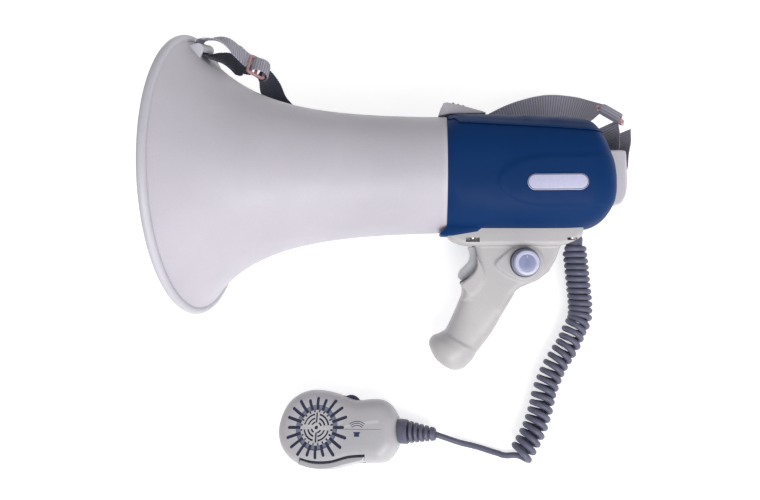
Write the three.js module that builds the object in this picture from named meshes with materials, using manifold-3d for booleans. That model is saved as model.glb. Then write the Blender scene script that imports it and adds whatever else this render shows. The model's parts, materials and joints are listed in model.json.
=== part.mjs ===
// A handheld megaphone with a hand microphone on a curly cord, lying on its side on a flat surface.
// Everything is in millimetres. The megaphone is drawn upright in its own frame: x runs from the mouth
// along the horn's axis to the rear, y points up from the axis to the battery lid, and z points to the
// side with the volume knob. The group named lying turns it onto its far side, where it rests on the
// bell's rim, the housing and the grip. The cord and the microphone are drawn on the surface itself.
import * as THREE from "three";
import { mergeVertices } from "three/addons/utils/BufferGeometryUtils.js";
import Module from "manifold-3d";

const wasm = await Module();
wasm.setup();

// ---- driving dimensions ----
const RIM_RADIUS = 115;
const HORN_LENGTH = 207.2;
const HORN_WALL = 2.4;
const HOUSING_FRONT = 207.5;
const HOUSING_WALL = 3;
const GAP = 0.35; // between pieces that touch
const LIE_PITCH = THREE.MathUtils.degToRad(11.66); // the mouth end is lifted by the bell
const LIE_ROLL = THREE.MathUtils.degToRad(21); // the grip has rolled down to the surface
const GRIP_HALF_WIDTH = 17.5;
const FLANGE_HALF_WIDTH = 24;
const WEBBING_WIDTH = 20;
const WEBBING_THICKNESS = 1.5;
const CORD_RADIUS = 2.3;
const COIL_RADIUS = 9.7;
const KNOB_X = 268.3;
const KNOB_Y = -70.8;
const LID_HINGE_X = 318.5;
const LID_HINGE_Y = 30;
const TRIGGER_PIVOT_X = 236;
const TRIGGER_PIVOT_Y = -63;
const MIC_X = 47.2; // where the microphone's rounded end lies
const MIC_Y = -197.8;
const MIC_HEIGHT = 27;

// ---- materials ----
function plastic(color, roughness) {
  return new THREE.MeshStandardMaterial({ color, roughness, metalness: 0 });
}

const WHITE = plastic(0xd8d6dc, 0.5);
const BLUE = plastic(0x12376e, 0.5);
const GRIP_WHITE = plastic(0xcfccd0, 0.5);
const DARK = plastic(0x3a4258, 0.6);
const CAP_VIOLET = plastic(0xb6b9dc, 0.3);
const LABEL = plastic(0xdcdaf0, 0.4);
const BLACK = plastic(0x16181c, 0.7);
const CORD_GREY = plastic(0x5f5f73, 0.55);
const WEBBING = plastic(0x6d7088, 0.9);
const BUCKLE = plastic(0x96696e, 0.4);
const MIC_WHITE = plastic(0xd0cfd8, 0.45);
const BOARD = plastic(0x1e5a34, 0.6);
const CELL = plastic(0x8a6a2a, 0.4);
const STEEL = new THREE.MeshStandardMaterial({ color: 0xb8b8b8, roughness: 0.35, metalness: 1 });
const MAGNET = new THREE.MeshStandardMaterial({ color: 0x3c3c40, roughness: 0.6, metalness: 0.4 });

// ---- solids ----
function toSolid(geometry) {
  const plain = geometry.index ? geometry.toNonIndexed() : geometry.clone();
  plain.deleteAttribute("normal");
  plain.deleteAttribute("uv");
  const merged = mergeVertices(plain, 1e-4);
  return new wasm.Manifold(
    new wasm.Mesh({
      numProp: 3,
      vertProperties: merged.attributes.position.array,
      triVerts: new Uint32Array(merged.index.array),
    }),
  );
}

function toGeometry(solid) {
  const mesh = solid.getMesh();
  const positions = new Float32Array(mesh.numVert * 3);
  for (let i = 0; i < mesh.numVert; i++) {
    positions.set(mesh.vertProperties.subarray(i * mesh.numProp, i * mesh.numProp + 3), i * 3);
  }
  const geometry = new THREE.BufferGeometry();
  geometry.setAttribute("position", new THREE.BufferAttribute(positions, 3));
  geometry.setIndex(new THREE.BufferAttribute(new Uint32Array(mesh.triVerts), 1));
  return geometry;
}

function cut(geometry, ...tools) {
  return toGeometry(tools.reduce((solid, tool) => solid.subtract(toSolid(tool)), toSolid(geometry)));
}

function join(geometry, ...others) {
  return toGeometry(others.reduce((solid, other) => solid.add(toSolid(other)), toSolid(geometry)));
}

function common(geometry, other) {
  return toGeometry(toSolid(geometry).intersect(toSolid(other)));
}

function named(name, geometry, material) {
  const mesh = new THREE.Mesh(geometry, material);
  mesh.name = name;
  return mesh;
}

// A box from its low corner to its high corner.
function block([x0, y0, z0], [x1, y1, z1]) {
  const geometry = new THREE.BoxGeometry(x1 - x0, y1 - y0, z1 - z0);
  return geometry.translate((x0 + x1) / 2, (y0 + y1) / 2, (z0 + z1) / 2);
}

// A solid turned about the horn's axis. Its profile lists [x, radius] pairs.
function turned(profile, segments = 32) {
  const points = profile.map(([x, radius]) => new THREE.Vector2(radius, x));
  return new THREE.LatheGeometry(points, segments).rotateZ(-Math.PI / 2);
}

function tubeAlongAxis(x0, x1, inner, outer, segments = 32) {
  return turned([[x0, inner], [x0, outer], [x1, outer], [x1, inner], [x0, inner]], segments);
}

function discAlongAxis(x0, x1, radius, segments = 32) {
  return turned([[x0, 0], [x0, radius], [x1, radius], [x1, 0]], segments);
}

// A cylinder standing along z, from z0 to z1.
function pinAlongZ(x, y, z0, z1, radius, segments = 24) {
  const geometry = new THREE.CylinderGeometry(radius, radius, z1 - z0, segments);
  return geometry.rotateX(Math.PI / 2).translate(x, y, (z0 + z1) / 2);
}

// A cylinder standing along y, from y0 to y1.
function pinAlongY(x, z, y0, y1, radius, segments = 16) {
  const geometry = new THREE.CylinderGeometry(radius, radius, y1 - y0, segments);
  return geometry.translate(x, (y0 + y1) / 2, z);
}

// An outline in x and y, filled between two z values. A bevel rounds its edges within that space.
function plate(outline, z0, z1, bevel = 0) {
  const shape = new THREE.Shape(outline.map(([x, y]) => new THREE.Vector2(x, y)));
  const geometry = new THREE.ExtrudeGeometry(shape, {
    depth: z1 - z0 - 2 * bevel,
    bevelEnabled: bevel > 0,
    bevelThickness: bevel,
    bevelSize: bevel * 0.6,
    bevelOffset: -bevel * 0.6,
    bevelSegments: 3,
  });
  return geometry.translate(0, 0, z0 + bevel);
}

// A solid skinned over rings of points, with both ends filled.
function loft(rings) {
  const count = rings[0].length;
  const points = rings.flat();
  const faces = [];
  for (let i = 0; i + 1 < rings.length; i++) {
    for (let j = 0; j < count; j++) {
      const a = i * count + j;
      const b = i * count + ((j + 1) % count);
      faces.push(a, b, b + count, a, b + count, a + count);
    }
  }
  const last = (rings.length - 1) * count;
  const middle = (ring) => ring.reduce((sum, p) => sum.clone().add(p)).clone().divideScalar(count);
  points.push(middle(rings[0]), middle(rings[rings.length - 1]));
  for (let j = 0; j < count; j++) {
    const next = (j + 1) % count;
    faces.push(points.length - 2, next, j);
    faces.push(points.length - 1, last + j, last + next);
  }
  const geometry = new THREE.BufferGeometry().setFromPoints(points);
  geometry.setIndex(faces);
  if (toSolid(geometry).volume() > 0) return geometry;
  for (let i = 0; i < faces.length; i += 3) {
    [faces[i + 1], faces[i + 2]] = [faces[i + 2], faces[i + 1]];
  }
  geometry.setIndex(faces);
  return geometry;
}

// A ring between a circle and a rounded square, across the horn's axis at x.
function squircle(x, top, bottom, half, power, count = 32) {
  const ring = [];
  for (let i = 0; i < count; i++) {
    const angle = (2 * Math.PI * i) / count;
    const c = Math.cos(angle);
    const s = Math.sin(angle);
    const y = (top + bottom) / 2 + ((top - bottom) / 2) * Math.sign(s) * Math.abs(s) ** (2 / power);
    ring.push(new THREE.Vector3(x, y, half * Math.sign(c) * Math.abs(c) ** (2 / power)));
  }
  return ring;
}

// A flat strap along a list of stations: [x, y, z, and the direction of its width].
function webbing(stations, steps = 4) {
  const centres = new THREE.CatmullRomCurve3(stations.map((s) => new THREE.Vector3(s[0], s[1], s[2])));
  const widths = new THREE.CatmullRomCurve3(stations.map((s) => new THREE.Vector3(s[3], s[4], s[5])));
  const count = (stations.length - 1) * steps;
  const rings = [];
  for (let i = 0; i <= count; i++) {
    const centre = centres.getPoint(i / count);
    const along = centres.getTangent(i / count);
    const across = widths.getPoint(i / count);
    across.addScaledVector(along, -across.dot(along)).setLength(WEBBING_WIDTH / 2);
    const out = across.clone().cross(along).setLength(WEBBING_THICKNESS / 2);
    rings.push([
      centre.clone().add(across).add(out),
      centre.clone().add(across).sub(out),
      centre.clone().sub(across).sub(out),
      centre.clone().sub(across).add(out),
    ]);
  }
  return loft(rings);
}

// A round cord along a list of points.
function cord(points, radius, sides, steps) {
  const section = new THREE.Shape();
  for (let i = 0; i < sides; i++) {
    const angle = (2 * Math.PI * i) / sides;
    const place = [radius * Math.cos(angle), radius * Math.sin(angle)];
    if (i === 0) section.moveTo(...place);
    else section.lineTo(...place);
  }
  const extrudePath = new THREE.CatmullRomCurve3(points.map((p) => new THREE.Vector3(...p)));
  return new THREE.ExtrudeGeometry(section, { steps, extrudePath, bevelEnabled: false });
}

// ---- horn ----
function hornRadius(x) {
  return 46.2 + 65.5 * Math.exp(-x / 51) + 3.3 * Math.exp(-x / 5);
}

// Points [x, radius] along the horn's skin, moved outward by an offset.
function hornSkin(offset) {
  const count = 12;
  const points = [];
  for (let i = 0; i <= count; i++) {
    const x = 1 + (HORN_LENGTH - 1) * (i / count) ** 1.8;
    const slope = (hornRadius(x + 0.01) - hornRadius(x - 0.01)) / 0.02;
    const reach = Math.hypot(1, slope);
    points.push([Math.min(x - (offset * slope) / reach, HORN_LENGTH), hornRadius(x) + offset / reach]);
  }
  return points;
}

function hornBell() {
  const outer = hornSkin(0);
  const inner = hornSkin(-HORN_WALL).reverse();
  return turned([...outer, ...inner, outer[0]], 40);
}

// The horn and all the space inside it, grown a little, for cutting what sits on it.
function hornFilled(growth) {
  const skin = hornSkin(growth);
  return turned([[skin[0][0], 0], ...skin, [HORN_LENGTH, 0]], 40);
}

function rimGuard() {
  const tube = 3.3;
  const profile = [];
  for (let i = 0; i <= 8; i++) {
    const angle = ((i + 0.5) * Math.PI) / 4;
    profile.push([0.6 - tube * Math.cos(angle), RIM_RADIUS - tube + tube * Math.sin(angle)]);
  }
  const groove = turned(
    [...hornSkin(GAP).slice(0, 3), ...hornSkin(-HORN_WALL - GAP).slice(0, 3).reverse(), hornSkin(GAP)[0]],
    40,
  ).translate(-GAP, 0, 0);
  return cut(turned(profile, 40), groove);
}

// The inner horn and the plate that closes the bell's throat round it.
function toneTube() {
  const horn = [[95, 17.5], [125, 14.5], [165, 12], [199, 11.2]];
  const plate = [[199, 44], [203, 44], [203, 11], [206.6, 11]];
  const inner = [[206.6, 9], [165, 10], [125, 12.5], [95, 15.5]];
  return turned([...horn, ...plate, ...inner, horn[0]], 24);
}

// A cup facing the tone tube, with a nose inside that turns the sound back.
function reflectorCup() {
  const outer = [[58, 0], [59, 9], [63, 17], [71, 24.5], [84, 30], [102, 33.5], [148, 36]];
  const inner = [[148, 34], [102, 31.4], [85, 28], [73, 22.6], [65.5, 15.6], [63.8, 8], [68, 4.4], [78, 0]];
  return turned([...outer, ...inner], 24);
}

function hornParts() {
  const group = new THREE.Group();
  group.add(named("horn_bell", hornBell(), WHITE));
  group.add(named("bell_rim_guard", rimGuard(), WHITE));
  group.add(named("reflector_cup", reflectorCup(), WHITE));
  group.add(named("tone_tube", toneTube(), WHITE));
  for (let i = 0; i < 3; i++) {
    const stay = block([122, 15.2, -1.2], [144, 31.4, 1.2]);
    stay.rotateX((i * 2 * Math.PI) / 3);
    group.add(named(`reflector_stay_${i + 1}`, stay, WHITE));
  }
  return group;
}

// A bridge across the horn near its rim. The strap passes between the bridge and the horn's skin.
function frontStrapLug() {
  const outline = [[-7, -3], [-3, 6.6], [0, 7.8], [3, 6.6], [7, -3]];
  const slot = block([-20, 0.5, -10.9], [20, 4.4, 10.9]);
  const lug = cut(plate(outline, -13.5, 13.5, 1), slot);
  lug.rotateZ(THREE.MathUtils.degToRad(-51.5)).translate(9, 101.6, 0);
  return cut(lug, hornFilled(GAP)).rotateX(THREE.MathUtils.degToRad(14));
}

function driverParts() {
  const group = new THREE.Group();
  group.add(named("driver_frame", tubeAlongAxis(208, 213, 10, 43, 32), BLACK));
  const dome = [[213.4, 20], [216.4, 12], [217.4, 0], [216.6, 0], [215.6, 11.6], [213.4, 19], [213.4, 20]];
  group.add(named("driver_diaphragm", turned(dome, 24), STEEL));
  const magnet = [[218.4, 0], [218.4, 37], [234, 37], [234, 34], [238, 34], [238, 0]];
  group.add(named("driver_magnet", turned(magnet, 32), MAGNET));
  return group;
}

// ---- housing ----
// Sections across the housing: [x, top, bottom, half width, squareness].
const HOUSING = [
  [HOUSING_FRONT, 48, -48.6, 47.8, 2.1],
  [213, 48.4, -47.4, 48, 2.4],
  [226, 48, -46.6, 48, 2.7],
  [287, 45.2, -46.5, 48, 2.8],
  [306, 43.8, -46.2, 47.5, 2.8],
  [317, 41.2, -45, 46.6, 2.8],
  [323, 36, -43, 45, 2.7],
  [328.5, 26.5, -39, 42, 2.6],
  [333, 13.5, -32.5, 37, 2.6],
  [335, 4, -28, 31, 2.5],
];

function housingSkin(growth) {
  return loft(
    HOUSING.map(([x, top, bottom, half, power]) =>
      squircle(x, top + growth, bottom - growth, half + growth, power),
    ),
  );
}

function housingCavity() {
  const wall = HOUSING_WALL;
  const rings = HOUSING.slice(0, 9).map(([x, top, bottom, half, power]) =>
    squircle(x - (x > 320 ? wall * 0.7 : 0), top - wall, bottom + wall, half - wall, power),
  );
  const mouth = rings[0].map((p) => p.clone().setX(HOUSING_FRONT - 2));
  return loft([mouth, ...rings]);
}

// The space above the lid's seam, which slopes down to the rear.
function aboveSeam(lift, front, rear) {
  const seam = (x) => 36.6 - 0.078 * (x - HOUSING_FRONT) + lift;
  return plate([[front, seam(front)], [rear, seam(rear)], [rear, 80], [front, 80]], -60, 60);
}

function namePlateOutline(growth) {
  const radius = 6 + growth;
  const points = [];
  for (let i = 0; i <= 8; i++) {
    const angle = Math.PI / 2 + (i * Math.PI) / 8;
    points.push([271.7 + radius * Math.cos(angle), -10.8 + radius * Math.sin(angle)]);
  }
  for (let i = 0; i <= 8; i++) {
    const angle = -Math.PI / 2 + (i * Math.PI) / 8;
    points.push([304 + radius * Math.cos(angle), -10.8 + radius * Math.sin(angle)]);
  }
  return points;
}

function rearHousing() {
  return cut(
    housingSkin(0),
    housingCavity(),
    aboveSeam(0, 211.2, 330),
    pinAlongZ(LID_HINGE_X, LID_HINGE_Y, -38, 38, 7.5),
    plate(namePlateOutline(GAP), 46.2, 60),
  );
}

function batteryLid() {
  return cut(common(housingSkin(0), aboveSeam(GAP, 211.6, 324.6)), housingCavity());
}

function lidLatch() {
  const outline = [[201, 49.4], [206.2, 60], [209, 60.2], [235, 52.6], [236, 51], [236, 48.9], [210, 48.9]];
  return plate(outline, -10, 10, 1);
}

// The rear cap carries the bar that the strap's rear loop passes round.
function rearCap() {
  const outline = [[326, 15.5], [343, 15.5], [345.6, 13.2], [348.5, -10], [340.4, -25.5], [326, -25.5]];
  const slotDown = block([340.8, 1, -11.5], [344.5, 20, 11.5]);
  const slotBack = block([340.8, -2.8, -11.5], [352, 2.6, 11.5]);
  const chamfer = [[343.4, 24.5], [350, 10.5], [353, 10.5], [353, 24.5]];
  const mirrored = chamfer.map(([x, z]) => [x, -z]).reverse();
  const sides = [chamfer, mirrored].map((wedge) => plate(wedge, -40, 40).rotateX(Math.PI / 2));
  return cut(plate(outline, -24, 24, 2), housingSkin(GAP), slotDown, slotBack, ...sides);
}

function housingParts() {
  const group = new THREE.Group();
  group.add(named("rear_housing", rearHousing(), BLUE));
  group.add(named("battery_lid", batteryLid(), BLUE));
  group.add(named("lid_latch", lidLatch(), WHITE));
  group.add(named("lid_hinge_pin", pinAlongZ(LID_HINGE_X, LID_HINGE_Y, -19, 19, 1.5, 12), STEEL));
  group.add(named("name_plate", plate(namePlateOutline(0), 46.5, 48.4), LABEL));
  group.add(named("rear_cap", rearCap(), WHITE));
  return group;
}

// ---- batteries and electronics ----
const CELL_RADIUS = 12.9;
const CELL_FRONT = 246;
const CELL_LENGTH = 49;
const CELL_PLACES = [[20, -13.2], [20, 13.2], [-6.4, -26.6], [-6.4, 0], [-6.4, 26.6]];

function batteryTray() {
  const floor = block([242, -22.4, -30], [310, -19.8, 30]);
  const frontWall = block([242, -22.4, -30], [244.4, 26, 30]);
  const rearWall = block([303, -22.4, -30], [305.4, 28, 30]);
  const ears = [-1, 1].map((side) =>
    block([303, LID_HINGE_Y - 2, side * 15 - 2], [LID_HINGE_X + 2.1, LID_HINGE_Y + 2.2, side * 15 + 2]),
  );
  const contacts = CELL_PLACES.map(([y, z]) =>
    block([CELL_FRONT + CELL_LENGTH + 1, y - 4, z - 4], [304, y + 4, z + 4]),
  );
  const pinHole = pinAlongZ(LID_HINGE_X, LID_HINGE_Y, -30, 30, 1.5 + GAP, 12);
  return cut(join(floor, frontWall, rearWall, ...ears, ...contacts), pinHole);
}

function electronicsParts() {
  const group = new THREE.Group();
  group.add(named("battery_tray", batteryTray(), BLACK));
  CELL_PLACES.forEach(([y, z], i) => {
    const body = discAlongAxis(CELL_FRONT, CELL_FRONT + CELL_LENGTH - 2, CELL_RADIUS, 16);
    const nub = discAlongAxis(CELL_FRONT + CELL_LENGTH - 3, CELL_FRONT + CELL_LENGTH, 3, 16);
    group.add(named(`cell_${i + 1}`, join(body, nub).translate(0, y, z), CELL));
  });
  group.add(named("amplifier_board", block([244, -35, -30], [312, -33.4, 30]), BOARD));
  group.add(named("output_transformer", block([250, -33, -14], [276, -23, 14]), STEEL));
  return group;
}

// ---- grip ----
const NECK_OUTLINE = [
  [226, -52], [231, -62], [232.5, -70], [230, -78], [224, -84], [218.6, -88], [221.8, -96.5], [219.6, -101],
  [250.6, -113.5], [253.4, -108], [258.5, -97.2], [265.4, -91.2], [279.3, -85.2], [287.5, -78.6],
  [293, -69.2], [296.6, -59], [300, -52],
];
// Stations down the handle: [front x, front y, rear x, rear y, half width].
const HANDLE = [
  [229, -82, 264, -98, 16], [221.5, -97, 251, -113.6, 16.5], [213.8, -112.1, 243.5, -128.8, 16.5],
  [206.2, -127.2, 233.6, -142.6, 17.5], [196, -132, 228.6, -150.6, 20], [193, -138, 222, -157.4, 19.5],
  [198.4, -148.8, 215.4, -159.6, 13], [204, -155.2, 209.6, -158.6, 4],
];
const FLANGE_OUTLINE = [
  [208, -40], [208.4, -49.6], [212.6, -54.2], [219, -57], [226, -57.8], [298, -57.8], [304, -54.8],
  [311, -53.6], [316.8, -50.4], [318.4, -47], [318.4, -40],
];

// An oval across the handle between its front and rear edges.
function handleRing(frontX, frontY, rearX, rearY, half) {
  const ring = [];
  for (let i = 0; i < 24; i++) {
    const angle = (Math.PI * i) / 12;
    const along = (1 - Math.cos(angle)) / 2;
    const x = frontX + (rearX - frontX) * along;
    ring.push(new THREE.Vector3(x, frontY + (rearY - frontY) * along, half * Math.sin(angle)));
  }
  return ring;
}

function gripSolid() {
  const neck = plate(NECK_OUTLINE, -GRIP_HALF_WIDTH, GRIP_HALF_WIDTH, 6);
  const handle = loft(HANDLE.map((station) => handleRing(...station)));
  const flange = plate(FLANGE_OUTLINE, -FLANGE_HALF_WIDTH, FLANGE_HALF_WIDTH, 4);
  const triggerSlot = block([205, -88.8, -9.6], [246, -58.2, 9.6]);
  const neckCavity = block([247, -83, -13.6], [285, -60.5, 13.6]);
  const handleCavity = block([-10, -24, -11], [10, 24, 11])
    .rotateZ(THREE.MathUtils.degToRad(-25))
    .translate(228, -118, 0);
  const knobShaftHole = pinAlongZ(KNOB_X, KNOB_Y, 8, 30, 4.2);
  const glandHole = pinAlongY(310.5, 0, -60, -30, 5);
  const openings = [triggerSlot, neckCavity, handleCavity, knobShaftHole, glandHole];
  return cut(join(neck, handle, flange), housingSkin(GAP), ...openings);
}

const SCREW_PLACES = [[221, 17.5], [304.5, 17.5], [221, -17.5], [304.5, -17.5]];

function gripShells() {
  const near = block([150, -200, 0.15], [400, 0, 60]);
  const far = block([150, -200, -60], [400, 0, -0.15]);
  const pockets = SCREW_PLACES.map(([x, z]) =>
    block([x - 4.6, -60, -6], [x + 4.6, -51, 6]).translate(0, 0, z + Math.sign(z) * 2),
  );
  const grip = cut(gripSolid(), ...pockets);
  return [common(grip, near), common(grip, far)];
}

function gripScrew(x, z) {
  return pinAlongY(x, z, -54.4, -51.4, 3, 12);
}

function trigger() {
  const outline = [
    [225.4, -59], [226.6, -63.8], [225.4, -71.2], [218.6, -78], [217.2, -82.6], [218.8, -85.4], [223, -84.6],
    [231, -79], [238, -70], [241, -60.5], [239, -58.9],
  ];
  const pivotHole = pinAlongZ(TRIGGER_PIVOT_X, TRIGGER_PIVOT_Y, -20, 20, 1.5 + GAP, 12);
  return cut(plate(outline, -8.6, 8.6, 1.2), pivotHole);
}

// A coil spring as a closed helical wire.
function coilSpring(radius, wire, turns, length) {
  const points = [];
  const perTurn = 6;
  for (let i = 0; i <= turns * perTurn; i++) {
    const angle = (2 * Math.PI * i) / perTurn;
    points.push([(length * i) / (turns * perTurn), radius * Math.cos(angle), radius * Math.sin(angle)]);
  }
  return cord(points, wire, 4, turns * perTurn);
}

function volumeRing() {
  const ribs = 24;
  const outline = [];
  for (let i = 0; i < ribs * 2; i++) {
    const angle = (Math.PI * i) / ribs;
    const radius = i % 2 ? 11 : 11.6;
    outline.push([radius * Math.cos(angle), radius * Math.sin(angle)]);
  }
  return plate(outline, 18.3, 25).translate(KNOB_X, KNOB_Y, 0);
}

function gripParts() {
  const group = new THREE.Group();
  const [near, far] = gripShells();
  group.add(named("grip_shell_near", near, GRIP_WHITE));
  group.add(named("grip_shell_far", far, GRIP_WHITE));
  SCREW_PLACES.forEach(([x, z], i) => group.add(named(`grip_screw_${i + 1}`, gripScrew(x, z), STEEL)));
  group.add(named("trigger", trigger(), GRIP_WHITE));
  const pivot = pinAlongZ(TRIGGER_PIVOT_X, TRIGGER_PIVOT_Y, -9.2, 9.2, 1.5, 12);
  group.add(named("trigger_pivot", pivot, STEEL));
  group.add(named("trigger_switch", block([249, -82, -6], [259, -74, 6]), BLACK));
  group.add(named("trigger_spring", coilSpring(2.6, 0.4, 4, 9.2).translate(235.8, -76, 0), STEEL));
  group.add(named("volume_ring", volumeRing(), DARK));
  group.add(named("volume_cap", pinAlongZ(KNOB_X, KNOB_Y, 25.3, 31.3, 9.6, 32), CAP_VIOLET));
  group.add(named("volume_shaft", pinAlongZ(KNOB_X, KNOB_Y, 9, 18, 3, 16), STEEL));
  group.add(named("volume_potentiometer", pinAlongZ(KNOB_X, KNOB_Y, -2, 8.6, 8, 24), STEEL));
  group.add(named("cord_gland", pinAlongY(310.5, 0, -58, -48, 4.6, 16), CORD_GREY));
  return group;
}

// ---- strap ----
// A three-bar slide for the webbing, its bars along its own x and the strap running along its own y.
function slideBuckle() {
  const frame = plate([[-13, -8.5], [13, -8.5], [13, 8.5], [-13, 8.5]], -1.4, 1.4, 0.6);
  const windows = [-1, 1].map((side) => block([-10.6, side * 4 - 2.4, -5], [10.6, side * 4 + 2.4, 5]));
  return cut(frame, ...windows);
}

// Turns a slide so that its bars and its strap directions point as given.
function placeBuckle(centre, bars, strap) {
  const x = new THREE.Vector3(...bars).normalize();
  const y = new THREE.Vector3(...strap);
  y.addScaledVector(x, -y.dot(x)).normalize();
  const z = x.clone().cross(y);
  const matrix = new THREE.Matrix4().makeBasis(x, y, z).setPosition(...centre);
  return slideBuckle().applyMatrix4(matrix);
}

const STRAP_FRONT_LOOP = [
  [33.6, 94.6, -6, -0.2, -0.6, 0.8], [30, 95.6, -1, -0.15, -0.6, 0.75], [26.1, 95.4, 8, -0.1, -0.5, 0.85],
  [19, 94, 22.4, 0, -0.26, 0.96], [13.2, 96.9, 24.2, 0, -0.24, 0.97], [10.7, 99.9, 24.9, 0, -0.24, 0.97],
  [8.4, 103, 25.7, 0, -0.24, 0.97], [9.4, 106.8, 26.6, 0, -0.24, 0.97], [13.5, 108.2, 26.7, 0, -0.24, 0.97],
  [21.9, 109.7, 20, -0.05, -0.3, 0.95], [28.8, 108.4, 13, -0.12, -0.4, 0.9], [35, 103.6, 5, -0.2, -0.5, 0.84],
  [38.4, 101.6, -2, -0.22, -0.54, 0.81],
];
const STRAP_MAIN = [
  [55, 86, -9, 0.3, 0.5, -0.8], [58, 78, -22, 0.8, 0.4, -0.45], [62, 68, -40, 0.95, 0.3, -0.1],
  [82, 52, -58, 0.9, 0.45, 0], [120, 38, -64, 0.3, 0.95, 0], [170, 32, -64, 0, 1, 0.1],
  [220, 38, -60, -0.2, 0.95, 0.3], [246, 51, -56, -0.35, 0.9, 0.35], [270, 62, -54, -0.15, 0.9, 0.4],
  [296, 68, -53, 0.05, 0.9, 0.4], [318, 65.5, -49, 0.25, 0.85, 0.3], [331, 58.6, -37, 0.5, 0.75, 0.3],
  [336.5, 54, -22, 0.75, 0.6, 0],
];
const STRAP_REAR_LOOP = [
  [338, 41, -6, 0.75, -0.45, 0.4], [341, 32, -5, 0.5, -0.3, 0.8], [342.6, 22, -2, 0.2, 0, 0.95],
  [342.8, 12, 0, 0, 0, 1], [342.9, 4, 0, 0, 0, 1], [344.4, 0.4, 0, 0, 0, 1], [347.4, 0.2, 0, 0, 0, 1],
  [349.6, 3.6, 0, 0, 0, 1], [350.4, 12, -1, 0.05, 0, 0.98], [350, 24, -4, 0.4, -0.2, 0.85],
  [348.4, 34, -6, 0.6, -0.4, 0.6],
];

function strapParts() {
  const group = new THREE.Group();
  group.add(named("strap_lug_front", frontStrapLug(), WHITE));
  const frontBars = [-0.22, -0.54, 0.81];
  const rearBars = [0.78, -0.57, 0.25];
  group.add(named("slide_buckle_front", placeBuckle([47.6, 94.4, -4], frontBars, [0.68, -0.73, 0]), BUCKLE));
  group.add(named("slide_buckle_rear", placeBuckle([341.5, 49.1, -8], rearBars, [-0.2, -0.05, 1]), BUCKLE));
  group.add(named("strap_front_loop", webbing(STRAP_FRONT_LOOP), WEBBING));
  group.add(named("strap_main", webbing(STRAP_MAIN, 3), WEBBING));
  group.add(named("strap_rear_loop", webbing(STRAP_REAR_LOOP), WEBBING));
  return group;
}

// ---- cord: from the gland, coiled down to the surface and along it, then loose to the microphone ----
const COIL_ROUTE = [
  [299.9, -55.1, 29.2], [300.4, -66, 25.1], [300.7, -78, 20.6], [301.1, -90, 16.2], [301, -100, 12.8],
  [299.6, -110, 10.6], [295, -118.6, 10], [289.4, -129.9, 9.9], [282.9, -139.4, 9.9], [276.9, -148.8, 9.9],
  [272, -159, 9.9], [268, -168.5, 9.9], [265.5, -178, 9.9], [262.6, -186.5, 9.9], [259, -195.5, 9.9],
  [254.3, -204, 9.9], [249.6, -211.5, 9.9], [244.8, -218.2, 9.9],
];
const LEAD_ROUTE = [
  [241.2, -216.6, 3.2], [239.6, -218.2, 2.7], [235.4, -217, 2.6], [231.4, -214.1, 2.6], [225.3, -212.3, 2.6],
  [212.8, -208.6, 2.8], [200.2, -205.8, 4.2], [190, -202.7, 7.6], [183.4, -200.6, 9.7],
];

// ---- microphone: x along it towards the cord, y across, z up from its flat back ----
const MIC_OUTLINE = [
  [0, 0], [2.4, 13], [9, 24.5], [19, 31.4], [31, 34], [45, 32.4], [58, 29], [71, 24.4], [82, 25.2],
  [91, 23.8], [99.5, 17], [105, 8.3], [105, -8.3], [99.5, -17.4], [91, -23.4], [78.5, -24], [65, -26.8],
  [49.7, -30.6], [35.2, -31], [22, -28.2], [11, -22.2], [3, -12.4],
];
const MIC_SPLIT = 11;
// The strain relief's stations: [x, radius, height of its centre].
const BOOT = [[105.4, 10.2, 13], [111, 9.9, 12.8], [117, 8.2, 12.2], [125, 6.2, 11.2], [134.8, 4.4, 9.9]];

// How far the outline is drawn in at each height: [z, inset].
const MIC_ROUNDING = [
  [0, 5], [1.5, 2.6], [5, 0.8], [11, 0], [16, 0.2], [20.5, 1.6], [24, 4.6], [26.2, 9], [MIC_HEIGHT, 14],
];

// The outline at a height, drawn in towards the middle line of the microphone.
function micSection(z, inset) {
  return MIC_OUTLINE.map(([x, y]) => {
    const p = new THREE.Vector2(x, y);
    const inward = new THREE.Vector2(THREE.MathUtils.clamp(x, 34, 80), 0).sub(p).normalize();
    return new THREE.Vector3(p.x + inward.x * inset, p.y + inward.y * inset, z);
  });
}

function micSolid(shrink) {
  const rings = MIC_ROUNDING.map(([z, inset]) => {
    const height = THREE.MathUtils.clamp(z, shrink, MIC_HEIGHT - shrink);
    return micSection(height + (z - height) * 0.01, inset + shrink);
  });
  return loft(rings);
}

// The talk bar's outline, or with the growths given, the outline of the pocket that it moves in.
function talkBarOutline(endGrowth = 0, outGrowth = 0, inGrowth = 0) {
  const outer = [
    [22 - endGrowth, -27.6], [35.2, -30.6], [49.7, -30.2], [65, -26.4], [77 + endGrowth, -23.8],
  ];
  const inner = [
    [79 + endGrowth, -21], [65, -22.2], [49.5, -26.2], [35, -26.6], [24 - endGrowth, -24],
  ];
  return [
    ...outer.map(([x, y]) => [x, y - outGrowth]),
    ...inner.map(([x, y]) => [x, y + inGrowth]),
  ];
}

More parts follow.
